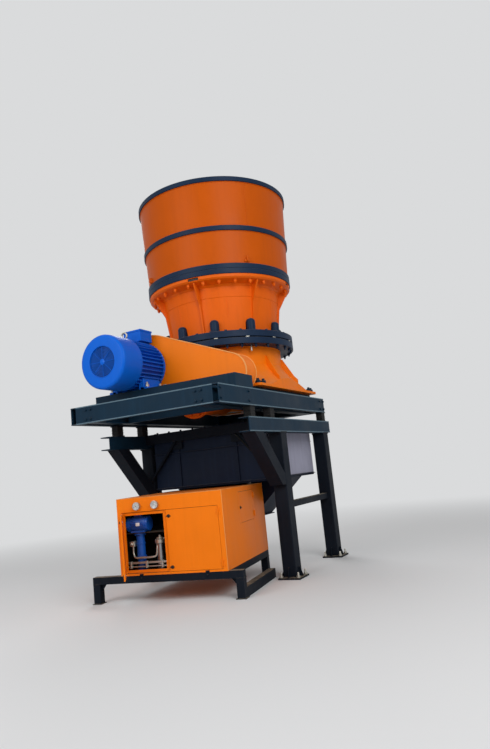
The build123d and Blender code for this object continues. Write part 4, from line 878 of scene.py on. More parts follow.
class CRUSHER_OT_shell_fittings(bpy.types.Operator):
    """The domed clamping cylinders in the top shell's pockets, the nuts under its lip and its mould seams"""

    bl_idname = "crusher.shell_fittings"
    bl_label = "Top shell fittings"

    def execute(self, context):
        sizes = context.scene.crusher_sizes
        foot_radius = body_radius(SHELL_FOOT)
        piece("pocket_linings", around(self.lining(foot_radius - POCKET_DEPTH), POCKET_ANGLES), "navy_enamel")
        place = (foot_radius + CYLINDER_OFFSET, 0, SHELL_FOOT)
        cylinder = moved(self.clamp_cylinder(sizes.cylinder_width / 2), place)
        piece("clamp_cylinders", around(cylinder, POCKET_ANGLES), "navy_enamel")
        angle = turns(sizes.lip_nuts) + 0.05
        from_rib, clear_of_rib = (angle[:, None] - RIB_ANGLES + np.pi) % (2 * np.pi) - np.pi, 0.06
        nut = moved(turned_over(hex_bolt(sizes.lip_nut, 0.04, point=0.018)), (1.205, 0, LIP_FOOT - 0.008))
        piece("lip_nuts", around(nut, angle[np.abs(from_rib).min(axis=1) > clear_of_rib]), "casting_enamel")
        # Dark sheets in the lip's four slots: painted shade inside them
        slot = slab((1.226, -0.093, SHELL_TOP - 0.052), (1.262, 0.093, SHELL_TOP - 0.009))
        piece("slot_linings", around(slot, turns(4, math.radians(-81.0))), "dark_paint_and_shade")
        piece("shell_parting_lines", around(self.parting_line(), RIB_ANGLES + np.pi / 7), "casting_enamel")
        return {"FINISHED"}

    def lining(self, reach):
        """A shallow cup with the pocket's arched outline: straight sides and a half circle, set back a
        little from the casting's face at each height."""
        arch, rise = np.linspace(0, np.pi, 13), POCKET_HEIGHT - POCKET_HALF

        def outline(inset):
            r = POCKET_HALF - inset
            across = np.concatenate([[r], r * np.cos(arch), [-r]])
            return across, SHELL_FOOT + np.concatenate([[inset], rise + r * np.sin(arch), [inset]])

        wide, high = outline(0.001)
        narrow, low = outline(0.004)
        front = body_radius(high) - 0.014 - wide**2 / 2
        return capped([np.column_stack([depth + 0 * wide, across, up]) for depth, across, up in
                       ((reach + 0.001, wide, high), (front, wide, high), (front, narrow, low),
                        (reach + 0.005, narrow, low))])

    def clamp_cylinder(self, r):
        """An upright cylinder turned from its foot collar to a domed top, a quarter ellipse in profile."""
        turn, shoulder = np.linspace(0.1, np.pi / 2, 7), CYLINDER_HEIGHT - r * 0.8
        dome = np.column_stack([r * np.cos(turn), shoulder + r * 0.8 * np.sin(turn)])
        return lathe(np.vstack([[(r + 0.006, 0.0), (r + 0.006, 0.018), (r, 0.024), (r, shoulder)], dome]), 28)

    def parting_line(self):
        """A thin raised seam where the mould's halves met, down the tapered body."""
        z = np.linspace(SHELL_FOOT + 0.3, SHELL_TOP - 0.34, 24)
        return swept(np.column_stack([body_radius(z), 0 * z, z]), circle_section(0.004, 6), (1, 0, 0))


class CRUSHER_OT_clamp_fittings(bpy.types.Operator):
    """Bolts and nuts of the clamp flanges, the shims in their groove and the base plate's bolts"""

    bl_idname = "crusher.clamp_fittings"
    bl_label = "Clamp fittings"

    def execute(self, context):
        sizes = context.scene.crusher_sizes
        width, angle = sizes.clamp_bolt, turns(sizes.clamp_bolts)
        ring = CLAMP_RADIUS - width * 1.3
        head = moved(hex_bolt(width, width * 0.45), (ring, 0, SHELL_FOOT))
        nut = moved(turned_over(hex_bolt(width, width * 0.6, point=0.025)), (ring, 0, CLAMP_FOOT))
        piece("clamp_bolts", [around(head, angle), around(nut, angle)], "navy_enamel")
        shim = slab((CLAMP_RADIUS - 0.045, -0.03, SHELL_FOOT - 0.124),
                    (CLAMP_RADIUS - 0.004, 0.03, SHELL_FOOT - 0.108), 0.003)
        piece("clamp_shims", around(shim, np.radians(-68.2 + 25.0 * np.arange(14))), "gauge_steel")
        pin = lathe([(0.012, 0), (0.014, 0.01), (0.014, 0.1), (0.01, 0.11)], 10)
        pins = around(moved(pin, (1.07, 0, CLAMP_FOOT - 0.1)), turns(2, math.radians(-37.8)))
        piece("locating_pins", pins, "gauge_steel")
        corner = np.array([(1.12, 1.12, 0), (1.14, 0.97, 0), (0.97, 1.14, 0)])
        places = [corner * (sx, sy, 1) + (0, AXIS_Y, BASE_TOP) for sx in (-1, 1) for sy in (-1, 1)]
        piece("base_bolts", bolted(0.075, np.vstack(places), point=0.03), "frame_enamel")
        flange_middle, bolt_circle = (0, AXIS_Y - 1.2474, RAIL_TOP - 0.028), 0.308
        places = wheel_axes(turns(12, np.pi / 12))[:, :, 0] * bolt_circle + flange_middle
        piece("countershaft_bolts", bolted(0.046, places, (0, -1, 0)), "casting_enamel")
        return {"FINISHED"}


class CRUSHER_OT_chamber_fittings(bpy.types.Operator):
    """Bolts of the spider and its cap, the mantle's nut and the joints of the liner"""

    bl_idname = "crusher.chamber_fittings"
    bl_label = "Chamber fittings"

    def execute(self, context):
        bolt = moved(hex_bolt(0.036, 0.02), (0.298, 0, box("spider_cap")[0, 2] + 0.042))
        piece("cap_bolts", around(bolt, turns(10)), "casting_enamel")
        seat, mantle_top = box("spider")[0, 2] + 0.095, box("mantle")[1, 2]
        arm_ends = [(side * 1.07, AXIS_Y + y, seat) for side in (-1, 1) for y in (-0.07, 0.07)]
        piece("spider_bolts", bolted(0.06, arm_ends, point=0.02), "navy_enamel")
        nut = lathe([(0.335, -0.01), (0.335, 0.05), (0.3, 0.09), (0.19, 0.1), (0.19, -0.01)], 40)
        piece("mantle_nut", moved(nut, (0, AXIS_Y, mantle_top)), "manganese_steel")
        rim = circle_places(0.862, box("concave_liner")[1, 2], RING_STEPS)[0]
        piece("liner_rim_weld", bead(rim, 0.01, loop=True), "manganese_steel")
        return {"FINISHED"}


class CRUSHER_OT_frame_forms(bpy.types.Operator):
    """The platform's edge channels, the bearers, blocks, columns, knees, ties and the hopper's skirt"""

    bl_idname = "crusher.frame_forms"
    bl_label = "Frame forms"

    def execute(self, context):
        low, high, width, inset = PLATFORM_LOW, PLATFORM_HIGH, CHANNEL_WIDTH, CHANNEL_WIDTH + 0.0005
        bars = [channel_bar((x, low[1], low[2]), (x + width, high[1], high[2]), 0, side)
                for x, side in ((low[0], -1), (high[0] - width, 1))]
        bars += [channel_bar((low[0] + inset, y, low[2]), (high[0] - inset, y + width, high[2]), 1, side)
                 for y, side in ((low[1], -1), (high[1] - width, 1))]
        edge = piece("edge_channels", bars, "frame_enamel")
        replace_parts(edge, "platform_end_beams", "platform_side_beams")
        low, high = BEARER_LOW, BEARER_HIGH
        bars = [channel_bar((x, low[1], low[2]), (x + BEARER_WIDTH, high[1], high[2]), 0, 1, BEARER_WEB)
                for x in (high[0] - BEARER_WIDTH, low[0])]
        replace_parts(piece("bearer_channels", bars, "frame_enamel"), "bearer_beams")
        rise = PLATFORM_FOOT - BEARER_TOP
        blocks = [block(x, y, BEARER_TOP, 0.06, 0.075, rise, 0.006) for x, y in BLOCK_PLACES]
        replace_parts(piece("carrying_blocks", blocks, "mount_rubber"), "resilient_blocks")
        self.stand()
        end = slab((DRIVE_HIGH[0] + SEAT_GAP, *DRIVE_LOW[1:]), (PLATFORM_HIGH[0], *DRIVE_HIGH[1:]), 0.003)
        piece("drive_base_end", end, "frame_enamel")
        self.skirt()
        return {"FINISHED"}

    def stand(self):
        """Square columns, the knees that reach forward from the front ones, and a level tie on each side."""
        half, rise, seat = COLUMN_HALF, BEARER_FOOT - PLATE_TOP, BEARER_FOOT - SEAT_GAP
        columns = [block(x, y, PLATE_TOP, half, half, rise, 0.01) for x, y in COLUMN_PLACES]
        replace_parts(piece("square_columns", columns, "stand_enamel"), "stand_columns")
        outline = [(-0.9603, 1.40), (-1.0834, 1.40), (-1.8531, seat), (-1.5749, seat), (-0.9603, 1.5625)]
        knees = [plate(outline, 2 * half, (side * COLUMN_X, AXIS_Y, 0), BACK, UP) for side in (-1, 1)]
        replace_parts(piece("knee_bars", knees, "stand_enamel"), "knee_braces")
        ties = [block(side * COLUMN_X, AXIS_Y + 0.1, 1.03, 0.05, 0.84, 0.1, 0.006) for side in (-1, 1)]
        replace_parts(piece("level_ties", ties, "stand_enamel"), "side_braces")

    def skirt(self):
        """Four upright plates that close the hopper's box below its shoulder."""
        shoulder, thick, lift = CHUTE_RIM - 0.35, 0.01, 0.0005
        outer_x, outer_y, inner_y = CHUTE_X + lift, CHUTE_Y + lift, CHUTE_Y - thick
        plates = [slab((-CHUTE_X, AXIS_Y + side * outer_y, CHUTE_WAIST),
                       (CHUTE_X, AXIS_Y + side * (outer_y - thick), shoulder), 0.001) for side in (-1, 1)]
        plates += [slab((side * outer_x, AXIS_Y - inner_y, CHUTE_WAIST),
                        (side * (outer_x - thick), AXIS_Y + inner_y, shoulder), 0.001) for side in (-1, 1)]
        piece("hopper_skirt", plates, "chute_plate")


class CRUSHER_OT_motor_forms(bpy.types.Operator):
    """The drive motor's fan cover and finned frame, and the pump's motor on its shelf"""

    bl_idname = "crusher.motor_forms"
    bl_label = "Motor forms"

    def execute(self, context):
        inlet, radius, fold, t = 0.235, 0.41, 0.048, np.linspace(0, np.pi / 2, 9)
        lip = [(inlet, 0.026), (inlet, 0.003), (inlet + 0.003, 0)]
        rounded = np.column_stack([radius - fold + fold * np.sin(t), fold - fold * np.cos(t)])
        profile = np.vstack([lip, rounded, [(radius, COVER_LENGTH)]])
        cover = piece("fan_cover_shell", on_motor(lathe(profile, 96), FAN_END), "motor_enamel")
        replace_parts(cover, "motor_fan_cover")
        low, high = SEAT_GAP, FRAME_END - COVER_END - SEAT_GAP
        fin = slab((0.337, -0.0045, low), (0.4, 0.0045, high))
        shapes = [on_motor(lathe([(0.345, low), (0.345, high)], 80), COVER_END),
                  copies(fin, (MOTOR_X, COVER_END, MOTOR_Z), wheel_axes(turns(40)))]
        front, back = COVER_END + 0.13, FRAME_END - 0.04
        for side in (-1, 1):
            x = MOTOR_X + side * 0.3
            foot = slab((x - 0.065, front, DRIVE_TOP), (x + 0.065, back, DRIVE_TOP + FOOT_THICK), 0.004)
            leg = slab((x, front, DRIVE_TOP), (x - side * 0.095, back, MOTOR_Z - 0.172), 0.004)
            shapes += [foot, leg]
        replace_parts(piece("stator_frame", shapes, "motor_enamel"), "motor_body")
        self.pump_set()
        return {"FINISHED"}

    def pump_set(self):
        """A small motor that lies across a shelf, the pump upright under it and the filter beside."""
        x, y, z = PUMP_PLACE
        r, half, floor = PUMP_MOTOR_RADIUS, 0.165, BAY_FLOOR + SEAT_GAP
        shelf = slab((BAY_LEFT, 0.1, SHELF_TOP - 0.01), (BAY_RIGHT, 0.51, SHELF_TOP), 0.001)
        # The shelf takes the near-black paint as painted shade inside the bay
        cabinet_piece("bay_shelf", shelf, "dark_paint_and_shade")
        barrel = lathe([(r - 0.005, 0), (r, 0.005), (r, 2 * half - 0.005), (r - 0.005, 2 * half)], 40)
        shapes = [copies(barrel, (x - half, y, z), aimed((1, 0, 0))),
                  slab((x - 0.11, y - 0.08, SHELF_TOP + SEAT_GAP), (x + 0.11, y + 0.08, 0.975), 0.003),
                  slab((x - 0.09, y - 0.06, 0.97), (x + 0.09, y + 0.06, z - 0.05), 0.003)]
        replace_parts(cabinet_piece("pump_drive", shapes, "pump_enamel"), "pump_motor")
        pump = moved(lathe([(0.062, floor), (0.062, 0.9377)], 32), (x, y, 0))
        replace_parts(cabinet_piece("pump_column", pump, "pump_enamel"), "oil_pump")
        canister = moved(lathe([(0.058, floor), (0.058, 0.78)], 32), (FILTER_X, y, 0))
        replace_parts(cabinet_piece("filter_canister", canister, "shaft_steel"), "oil_filter")


class CRUSHER_OT_motor_fittings(bpy.types.Operator):
    """Fan grille, cover screws, lifting eye, terminal box screws and glands, foot bolts and end bolts"""

    bl_idname = "crusher.motor_fittings"
    bl_label = "Motor fittings"

    def execute(self, context):
        sizes = context.scene.crusher_sizes
        piece("fan_grille", self.grille(FAN_END, sizes.grille_wire), "motor_enamel")
        # The fan's disc and blades are painted dark as the shade in the recess
        piece("fan_blades", self.fan(FAN_END + 0.021), "shaded_motor_enamel")
        roll = self.wire_ring(0.4, COVER_END - 0.006, 72, circle_section(0.007, 8))
        screws = screwed(0.024, *motor_ring(0.409, COVER_END - 0.045, 8))
        piece("fan_cover_trim", [roll, screws], "motor_enamel")
        piece("motor_lifting_eye", self.lifting_eye(COVER_END + 0.13, MOTOR_Z + 0.395), "gauge_steel")
        piece("terminal_box_trim", self.terminal_box(), "motor_enamel")
        feet = [(MOTOR_X + side * 0.335, COVER_END + y, DRIVE_TOP + FOOT_THICK)
                for side in (-1, 1) for y in (0.17, 0.51)]
        piece("motor_foot_bolts", bolted(0.05, feet, point=0.035), "gauge_steel")
        ring = motor_ring(0.352, FRAME_END + 0.05, 8)[0]
        piece("drive_end_bolts", bolted(0.032, ring, BACK), "motor_enamel")
        return {"FINISHED"}

    def wire_ring(self, radius, y, steps, section):
        """A section carried round a circle about the motor's axis."""
        return swept(motor_ring(radius, y, steps)[0], section, BACK, loop=True)

    def grille(self, y, wire):
        """Ten rings and eight spokes of wire, a hub disc, and a frame round the inlet."""
        ring, spoke = circle_section(wire / 2, 6), circle_section(wire * 0.65, 6)
        shapes = [self.wire_ring(radius, y + 0.009, 56, ring) for radius in np.linspace(0.045, 0.225, 10)]
        for ends in zip(motor_ring(0.03, y + 0.013, 8)[0], motor_ring(0.236, y + 0.013, 8)[0]):
            shapes.append(swept(np.linspace(*ends, 3), spoke, BACK))
        hub = on_motor(lathe([(0.046, 0), (0.046, 0.004), (0.03, 0.009)], 20), y + 0.014, -1)
        return shapes + [hub, self.wire_ring(0.238, y + 0.001, 72, circle_section(0.006, 8))]

    def fan(self, y):
        """A dark disc with nine blades behind the grille, darkened as painted shade for the cover's recess.
        """
        disc = on_motor(lathe([(0.228, 0), (0.228, 0.004)], 48), y + 0.003, -1)
        blade = slab((0.06, -0.004, -0.006), (0.215, 0.004, 0), 0.001)
        return [disc, copies(blade, (MOTOR_X, y, MOTOR_Z), wheel_axes(turns(9)))]

    def lifting_eye(self, y, z):
        """A forged ring on a collar: the ring's section is a circle carried round an upright circle."""
        ring = wheel_axes(turns(24))[:, :, 0] * 0.05 + (MOTOR_X, y, z + 0.075)
        collar = moved(lathe([(0.04, 0), (0.04, 0.015), (0.022, 0.03)], 16), (MOTOR_X, y, z))
        return [swept(ring, circle_section(0.014, 10), BACK, loop=True), collar]

    def terminal_box(self):
        """The lid's screws and seam, two cable glands on the left and the pad under the box."""
        low, high = box("motor_terminal_box")
        lid, middle = high[2], (low[1] + high[1]) / 2
        (left, front), (right, back) = low[:2] + 0.024, high[:2] - 0.024
        corners = [(x, y, lid) for x in (left, right) for y in (front, back)]
        seam = slab((*(low[:2] + 0.004), lid - 0.031), (*(high[:2] - 0.004), lid - 0.026), 0.001)
        gland = lathe([(0.034, 0), (0.034, 0.02), (0.029, 0.022), (0.029, 0.05), (0.02, 0.062)], 12)
        places = [(low[0] + 0.007, middle + y, MOTOR_Z + 0.47) for y in (-0.07, 0.07)]
        pad = slab((MOTOR_X - 0.12, low[1] - 0.012, MOTOR_Z + 0.385),
                   (MOTOR_X + 0.12, high[1] + 0.004, MOTOR_Z + 0.408), 0.004)
        return [screwed(0.022, corners), seam, copies(gland, places, aimed((-1, 0, 0))), pad]


class CRUSHER_OT_guard_fittings(bpy.types.Operator):
    """The folded rims of the belt guard, their screws and its feet"""

    bl_idname = "crusher.guard_fittings"
    bl_label = "Guard fittings"

    def execute(self, context):
        low, high = box("belt_guard")
        faces = ((low[1], -1), (high[1], 1))
        outline = self.outline(low, high, 0.0)
        fold = rectangle(0.016, 0.022, 0.002)
        rims = [swept(np.insert(outline, 1, y - side * 0.004, axis=1), fold, BACK, loop=True)
                for y, side in faces]
        piece("guard_rims", rims, "rubbed_enamel")
        inner = self.outline(low, high, 0.035)
        travelled = np.concatenate([[0], np.cumsum(np.linalg.norm(np.diff(inner, axis=0), axis=1))])
        spots = np.linspace(0.1, travelled[-1] - 0.1, 26)
        x, z = (np.interp(spots, travelled, inner[:, k]) for k in (0, 1))
        width = context.scene.crusher_sizes.small_screw
        screws = [screwed(width, np.column_stack([x, 0 * x + y, z]), (0, side, 0)) for y, side in faces]
        piece("guard_screws", screws, "orange_enamel")
        feet, back, z, half = [], high[1], PLATFORM_TOP, 0.06
        for x in (low[0] + 0.14, 0.0, high[0] - 0.3):
            feet += [slab((x - half, back - 0.002, z), (x + half, back + 0.07, z + 0.012)),
                     slab((x - half, back - 0.002, z), (x + half, back + 0.01, z + 0.1)),
                     bolted(0.03, (x, back + 0.045, z + 0.012))]
        piece("guard_feet", feet, "orange_enamel")
        return {"FINISHED"}

    def outline(self, low, high, inset):
        """The guard's outline in its own plane: two arcs joined by their common tangent, and a flat foot."""
        big, small = 0.556, 0.298
        left = np.array((low[0] + big, high[2] - big))
        right = np.array((high[0] - small, PLATFORM_TOP + 0.3))
        apart = right - left
        tangent = math.atan2(apart[1], apart[0]) + math.acos((big - small) / np.linalg.norm(apart))
        big, small, foot = big - inset, small - inset, low[2] + inset
        first = np.linspace(math.pi, tangent, 28)
        last = np.linspace(tangent, math.asin((foot - right[1]) / small), 30)
        rise = left + big * np.column_stack([np.cos(first), np.sin(first)])
        fall = right + small * np.column_stack([np.cos(last), np.sin(last)])
        corner = (left[0] - big, foot)
        straight, side = np.linspace(fall[-1], corner, 12)[1:-1], np.linspace(corner, rise[0], 6)[:-1]
        return np.vstack([rise, fall, straight, side])


class CRUSHER_OT_platform_fittings(bpy.types.Operator):
    """Stiffeners, frame bolts and welds of the platform, and the drive base's clamps and draw bolts"""

    bl_idname = "crusher.platform_fittings"
    bl_label = "Platform fittings"

    def execute(self, context):
        sizes = context.scene.crusher_sizes
        (left, front, _), (right, back, _) = PLATFORM_LOW, PLATFORM_HIGH
        foot, top, mid = PLATFORM_FOOT, PLATFORM_TOP, (PLATFORM_TOP + PLATFORM_FOOT) / 2
        low, high = foot + FLANGE_THICK, top - FLANGE_THICK
        stiff = [slab((x + side * 0.012, y - 0.006, low), (x + side * 0.093, y + 0.006, high))
                 for x, side in ((left, 1), (right, -1))
                 for y in (front + 0.55, *(AXIS_Y + np.array((-1.86, -0.95, 0.1, 1.04))))]
        stiff += [slab((x - 0.006, y + side * 0.012, low), (x + 0.006, y + side * 0.093, high))
                  for y, side in ((front, 1), (back, -1)) for x in (-0.62, 0.0, 0.62)]
        piece("platform_stiffeners", stiff, "frame_enamel")
        width, rows = sizes.frame_bolt, (mid - 0.07, mid + 0.07)
        across = (-1.005, -0.915, 0.915, 1.005)
        along = (front + 0.05, AXIS_Y - 1.81, AXIS_Y + 1.09, back - 0.05)
        bolts = [bolted(width, [(x, y, z) for x in across for z in rows], (0, side, 0))
                 for y, side in ((front, -1), (back, 1))]
        bolts += [bolted(width, [(x, y, z) for y in along for z in rows], (side, 0, 0))
                  for x, side in ((left, -1), (right, 1))]
        bolts += [bolted(0.03, [(x + dx, y + dy, low) for dx in (-0.03, 0.02) for dy in (-0.05, 0.05)])
                  for x, y in BLOCK_PLACES]
        piece("platform_bolts", bolts, "frame_enamel")
        seams = [bead([(x, y, top), (x, y + run, top)], sizes.weld) for x in (left + 0.098, right - 0.098)
                 for y, run in ((front + CHANNEL_WIDTH, 0.09), (back - CHANNEL_WIDTH, -0.09))]
        piece("platform_welds", seams, "frame_enamel")
        # Pale strips on the flange edges: painted highlights
        piece("worn_beam_edges", self.edge_highlight_strips(left, right, front, back), "edge_highlight")
        piece("drive_base_fittings", self.clips(), "frame_enamel")
        piece("motor_draw_bolts", self.draw_bolts(), "gauge_steel")
        return {"FINISHED"}

    def edge_highlight_strips(self, left, right, front, back):
        """Thin pale strips over the edges of the platform's flanges and of the bearers' flanges: a painted
        highlight along them.
        """
        half, edges, inset = 0.0015, [], CHANNEL_WIDTH
        for z in (PLATFORM_FOOT, PLATFORM_TOP - FLANGE_THICK):
            top = z + FLANGE_THICK
            edges += [slab((x - half, front, z), (x + half, back, top), 0.0005) for x in (left, right)]
            edges += [slab((left + inset, y - half, z), (right - inset, y + half, top), 0.0005)
                      for y in (front, back)]
        for z in (BEARER_FOOT, BEARER_TOP - FLANGE_THICK):
            edges += [slab((x - half, BEARER_LOW[1], z), (x + half, BEARER_HIGH[1], z + FLANGE_THICK), 0.0005)
                      for x in (BEARER_LOW[0], BEARER_HIGH[0])]
        return edges

    def clips(self):
        """Clips with their bolts that hold the drive base to the platform, in front and on the left."""
        (left, front, _), (right, back, _) = DRIVE_LOW, DRIVE_HIGH
        z, top, shapes = PLATFORM_TOP, PLATFORM_TOP + 0.016, []
        for x in np.linspace(left + 0.2, right - 0.2, 6):
            shapes += [slab((x - 0.05, front - 0.06, z), (x + 0.05, front + 0.002, top)),
                       bolted(0.036, (x, front - 0.034, top), point=0.015)]
        for y in (front + 0.14, back - 0.14):
            shapes += [slab((left - 0.05, y - 0.05, z), (left + 0.002, y + 0.05, top)),
                       bolted(0.036, (left - 0.028, y, top), point=0.015)]
        return shapes

    def draw_bolts(self):
        """A threaded draw bolt beside each motor foot, in a lug on the slide."""
        end, top, z, shapes = DRIVE_HIGH[1], DRIVE_TOP, DRIVE_TOP + 0.055, []
        for x in (MOTOR_X - 0.35, MOTOR_X + 0.35):
            shapes += [slab((x - 0.03, end - 0.05, top), (x + 0.03, end - 0.025, top + 0.1), 0.003),
                       rod((x, FRAME_END - 0.05, z), (x, end - 0.002, z), 0.013, 10),
                       bolted(0.04, (x, end - 0.05, z), (0, -1, 0))]
        return shapes


class CRUSHER_OT_stand_fittings(bpy.types.Operator):
    """Anchor bolts, gussets, cap plates and welds of the stand, and plates of its blocks"""

    bl_idname = "crusher.stand_fittings"
    bl_label = "Stand fittings"

    def execute(self, context):
        weld, half, apart = context.scene.crusher_sizes.weld, COLUMN_HALF, (-0.14, 0.14)
        spots = [(x + dx, y + dy, PLATE_TOP) for x, y in ANCHOR_PLACES for dx in apart for dy in apart]
        piece("anchor_bolts", bolted(0.046, spots, point=0.045), "gauge_steel")
        plates, seams, outline = [], [], gusset(0.062, 0.14)
        for x, y in COLUMN_PLACES:
            plates += [plate(outline, 0.012, (x + sx * half, y + sy * half, PLATE_TOP), (sx, sy, 0), UP)
                       for sx, sy in ((1, 0), (-1, 0), (0, 1), (0, -1))]
            plates.append(block(x, y, BEARER_FOOT - 0.02, 0.112, 0.135, 0.0195, 0.003))
            seams += [square_bead(x, y, z, half, weld) for z in (PLATE_TOP, BEARER_FOOT)]
        piece("foot_gussets", plates, "stand_enamel")
        piece("stand_welds", seams, "stand_enamel")
        piece("inner_knees", self.inner_knees(), "stand_enamel")
        low, high = BEARER_FOOT + FLANGE_THICK, BEARER_TOP - FLANGE_THICK
        start, end = BEARER_LOW[0], BEARER_HIGH[0]
        spans = ((end - 0.174, end - BEARER_WEB), (start + 0.004, start + BEARER_WIDTH - BEARER_WEB))
        webs = [slab((left, AXIS_Y + y - 0.006, low), (right, AXIS_Y + y + 0.006, high))
                for left, right in spans for y in (-1.72, -1.05, -0.9, 0.1, 1.05, 1.225)]
        piece("bearer_stiffeners", webs, "stand_enamel")
        courses = ((BEARER_TOP, 0, 0.016), (PLATFORM_FOOT - 0.016, 0, 0.016),
                   (BEARER_TOP + 0.058, 0.008, 0.006), (BEARER_TOP + 0.1, 0.008, 0.006))
        plates = [block(x, y, z, 0.072 - inset, 0.09 - inset, thick) for x, y in BLOCK_PLACES
                  for z, inset, thick in courses]
        piece("block_plates", plates, "stand_enamel")
        return {"FINISHED"}

    def inner_knees(self):
        """An angle bar and its plate from each front column up to the cross beam inside the stand."""
        angle = np.array([(0, 0), (0.06, 0), (0.06, 0.006), (0.006, 0.006), (0.006, 0.06), (0, 0.06)])
        shapes, y, inner = [], AXIS_Y - 0.985, 0.56
        for side in (-1, 1):
            line = np.linspace((side * (COLUMN_X - 0.105), y, 1.62), (side * inner, y, 2.262), 4)
            shapes += [swept(line, angle * (side, -1), BACK),
                       slab((side * inner - 0.09, y - 0.013, 2.14), (side * inner + 0.09, y - 0.005, 2.27))]
        return shapes


class CRUSHER_OT_chute_fittings(bpy.types.Operator):
    """Ribs, side sheets, rim bolts and outlet bolts of the discharge hopper"""

    bl_idname = "crusher.chute_fittings"
    bl_label = "Chute fittings"

    def execute(self, context):
        x, y, waist, top, half = CHUTE_X, CHUTE_Y, CHUTE_WAIST, CHUTE_RIM, 0.006
        ribs = []
        for side in (-1, 1):
            face = AXIS_Y + side * y
            ribs += [slab((at - half, face, waist + 0.01), (at + half, face + side * 0.02, top - 0.17))
                     for at in (-0.55, 0.55)]
            ribs += [slab((-x, face, z - half), (x, face + side * 0.03, z + half))
                     for z in (top - 0.354, waist + 0.03)]
            ribs.append(slab((side * x, AXIS_Y - y, waist + 0.03 - half),
                             (side * (x + 0.03), AXIS_Y + y, waist + 0.03 + half)))
        piece("chute_ribs", ribs, "chute_plate")
        sides = [slab((side * x, AXIS_Y - y + 0.01, waist + 0.045),
                      (side * (x + 0.003), AXIS_Y + y - 0.01, top - 0.02), 0.0005) for side in (-1, 1)]
        piece("chute_side_sheets", sides, "dusty_primer")
        rim = self.round_edge(x + 0.035, y + 0.04, np.linspace(-0.95, 0.95, 9), np.linspace(-0.85, 0.85, 8))
        lip = self.round_edge(0.423, 0.383, np.linspace(-0.36, 0.36, 5), np.linspace(-0.3, 0.3, 4))
        rim_bolts = bolted(0.03, rim + (0, AXIS_Y, top))
        lip_bolts = bolted(0.026, lip + (0, AXIS_Y, CHUTE_OUTLET + 0.014))
        piece("chute_bolts", [rim_bolts, lip_bolts], "stand_enamel")
        return {"FINISHED"}

    def round_edge(self, x, y, along_x, along_y):
        """Places round a level rectangle: rows along its front and back, then along its two sides."""
        places = [(at, side * y, 0) for at in along_x for side in (-1, 1)]
        return np.array(places + [(side * x, at, 0) for at in along_y for side in (-1, 1)])


class CRUSHER_OT_cabinet_fittings(bpy.types.Operator):
    """Door seals, the breather, louvres, rear hatch, rubbed folds and foot bolts of the cabinet"""

    bl_idname = "crusher.cabinet_fittings"
    bl_label = "Cabinet fittings"

    def execute(self, context):
        openings = ((LEFT_HINGE_X, -0.865), (-0.860, -HINGE_INSET))
        seals = [self.seal(*opening, LEAF_FOOT, LEAF_TOP, 0.003, 0.0065) for opening in openings]
        side_seal = self.seal(0.68, 1.36, *box("cabinet_side_door")[:, 2], 0.0065, 0.003)
        cabinet_piece("door_seals", [*seals, turned_about(side_seal, np.pi / 2)], "mount_rubber")
        width, depth, z = CASE_WIDTH, CASE_DEPTH, CASE_TOP
        roof = np.array([(-width, 0, z), (0, 0, z), (0, depth, z), (-width, depth, z)])
        rim = np.vstack([np.linspace(roof[k - 4], roof[k - 3], 12)[:-1] for k in range(4)])
        folds = [swept(rim, rectangle(0.007, 0.007, 0.0025), loop=True)]
        rise = CASE_TOP - CASE_FOOT - 0.006
        folds += [block(x, y, CASE_FOOT + 0.004, 0.003, 0.003, rise, 0.001) for x, y, _ in roof]
        cabinet_piece("cabinet_folds", folds, "rubbed_enamel")
        cap = lathe([(0.03, 0), (0.03, 0.012), (0.018, 0.014), (0.018, 0.045), (0.04, 0.05), (0.042, 0.064),
                     (0.032, 0.078), (0.008, 0.084)])
        breather = moved(joined(cap, lathe([(0.05, 0), (0.05, 0.005), (0.046, 0.007)])), (-0.13, 1.70, z))
        cabinet_piece("tank_breather", breather, "gauge_steel")
        face = depth + 0.004
        hatch = [slab((-1.42, depth, 0.62), (-0.2, face, 1.3))]
        hatch += [self.louvre(x, face, 0.78 + k * 0.045) for x in (-1.15, -0.47) for k in range(9)]
        cabinet_piece("cabinet_rear_hatch", hatch, "orange_enamel")
        spots = [(x, face, z) for x in np.linspace(-1.39, -0.23, 6) for z in (0.65, 1.27)]
        screws = screwed(context.scene.crusher_sizes.small_screw, spots, BACK)
        cabinet_piece("cabinet_rear_screws", screws, "gauge_steel")
        clips = []
        for y, side in ((0.0, -1), (depth, 1)):
            face = y + side * 0.004
            for x in (-1.3, -0.3):
                spots = [(x, face, CASE_FOOT - 0.04), (x, face, CASE_FOOT + 0.008)]
                clips += [slab((x - 0.03, y, CASE_FOOT - 0.07), (x + 0.03, face, CASE_FOOT + 0.022), 0.001),
                          bolted(0.022, spots, (0, side, 0))]
        cabinet_piece("cabinet_clips", clips, "stand_enamel")
        return {"FINISHED"}

    def seal(self, x0, x1, z0, z1, width, depth):
        """A strip round a door's edge, with its corners rounded by three points each."""
        gap, r = 0.0025, 0.0008
        x0, x1, z0, z1 = x0 + gap, x1 - gap, z0 - gap, z1 + gap
        corner = np.array([(1, 0), (0.293, 0.293), (0, 1)]) * r
        path = np.vstack([(x0, z0) + corner[::-1], (x0, z1) + corner * (1, -1),
                          (x1, z1) - corner[::-1], (x1, z0) + corner * (-1, 1)])
        return swept(np.insert(path, 1, 0.0155, axis=1), rectangle(width, depth, 0.0005), BACK, loop=True)

    def louvre(self, x, y, z):
        """A pressed louvre: a strip with a curved hood, a quarter ellipse, that stands out at its foot."""
        u = np.linspace(0, np.pi / 2, 5)
        section = np.vstack([np.column_stack([0.014 * np.sin(u), 0.03 * np.cos(u)]), [(0, 0)]])
        return swept(np.linspace((x - 0.2, y, z), (x + 0.2, y, z), 3), section)


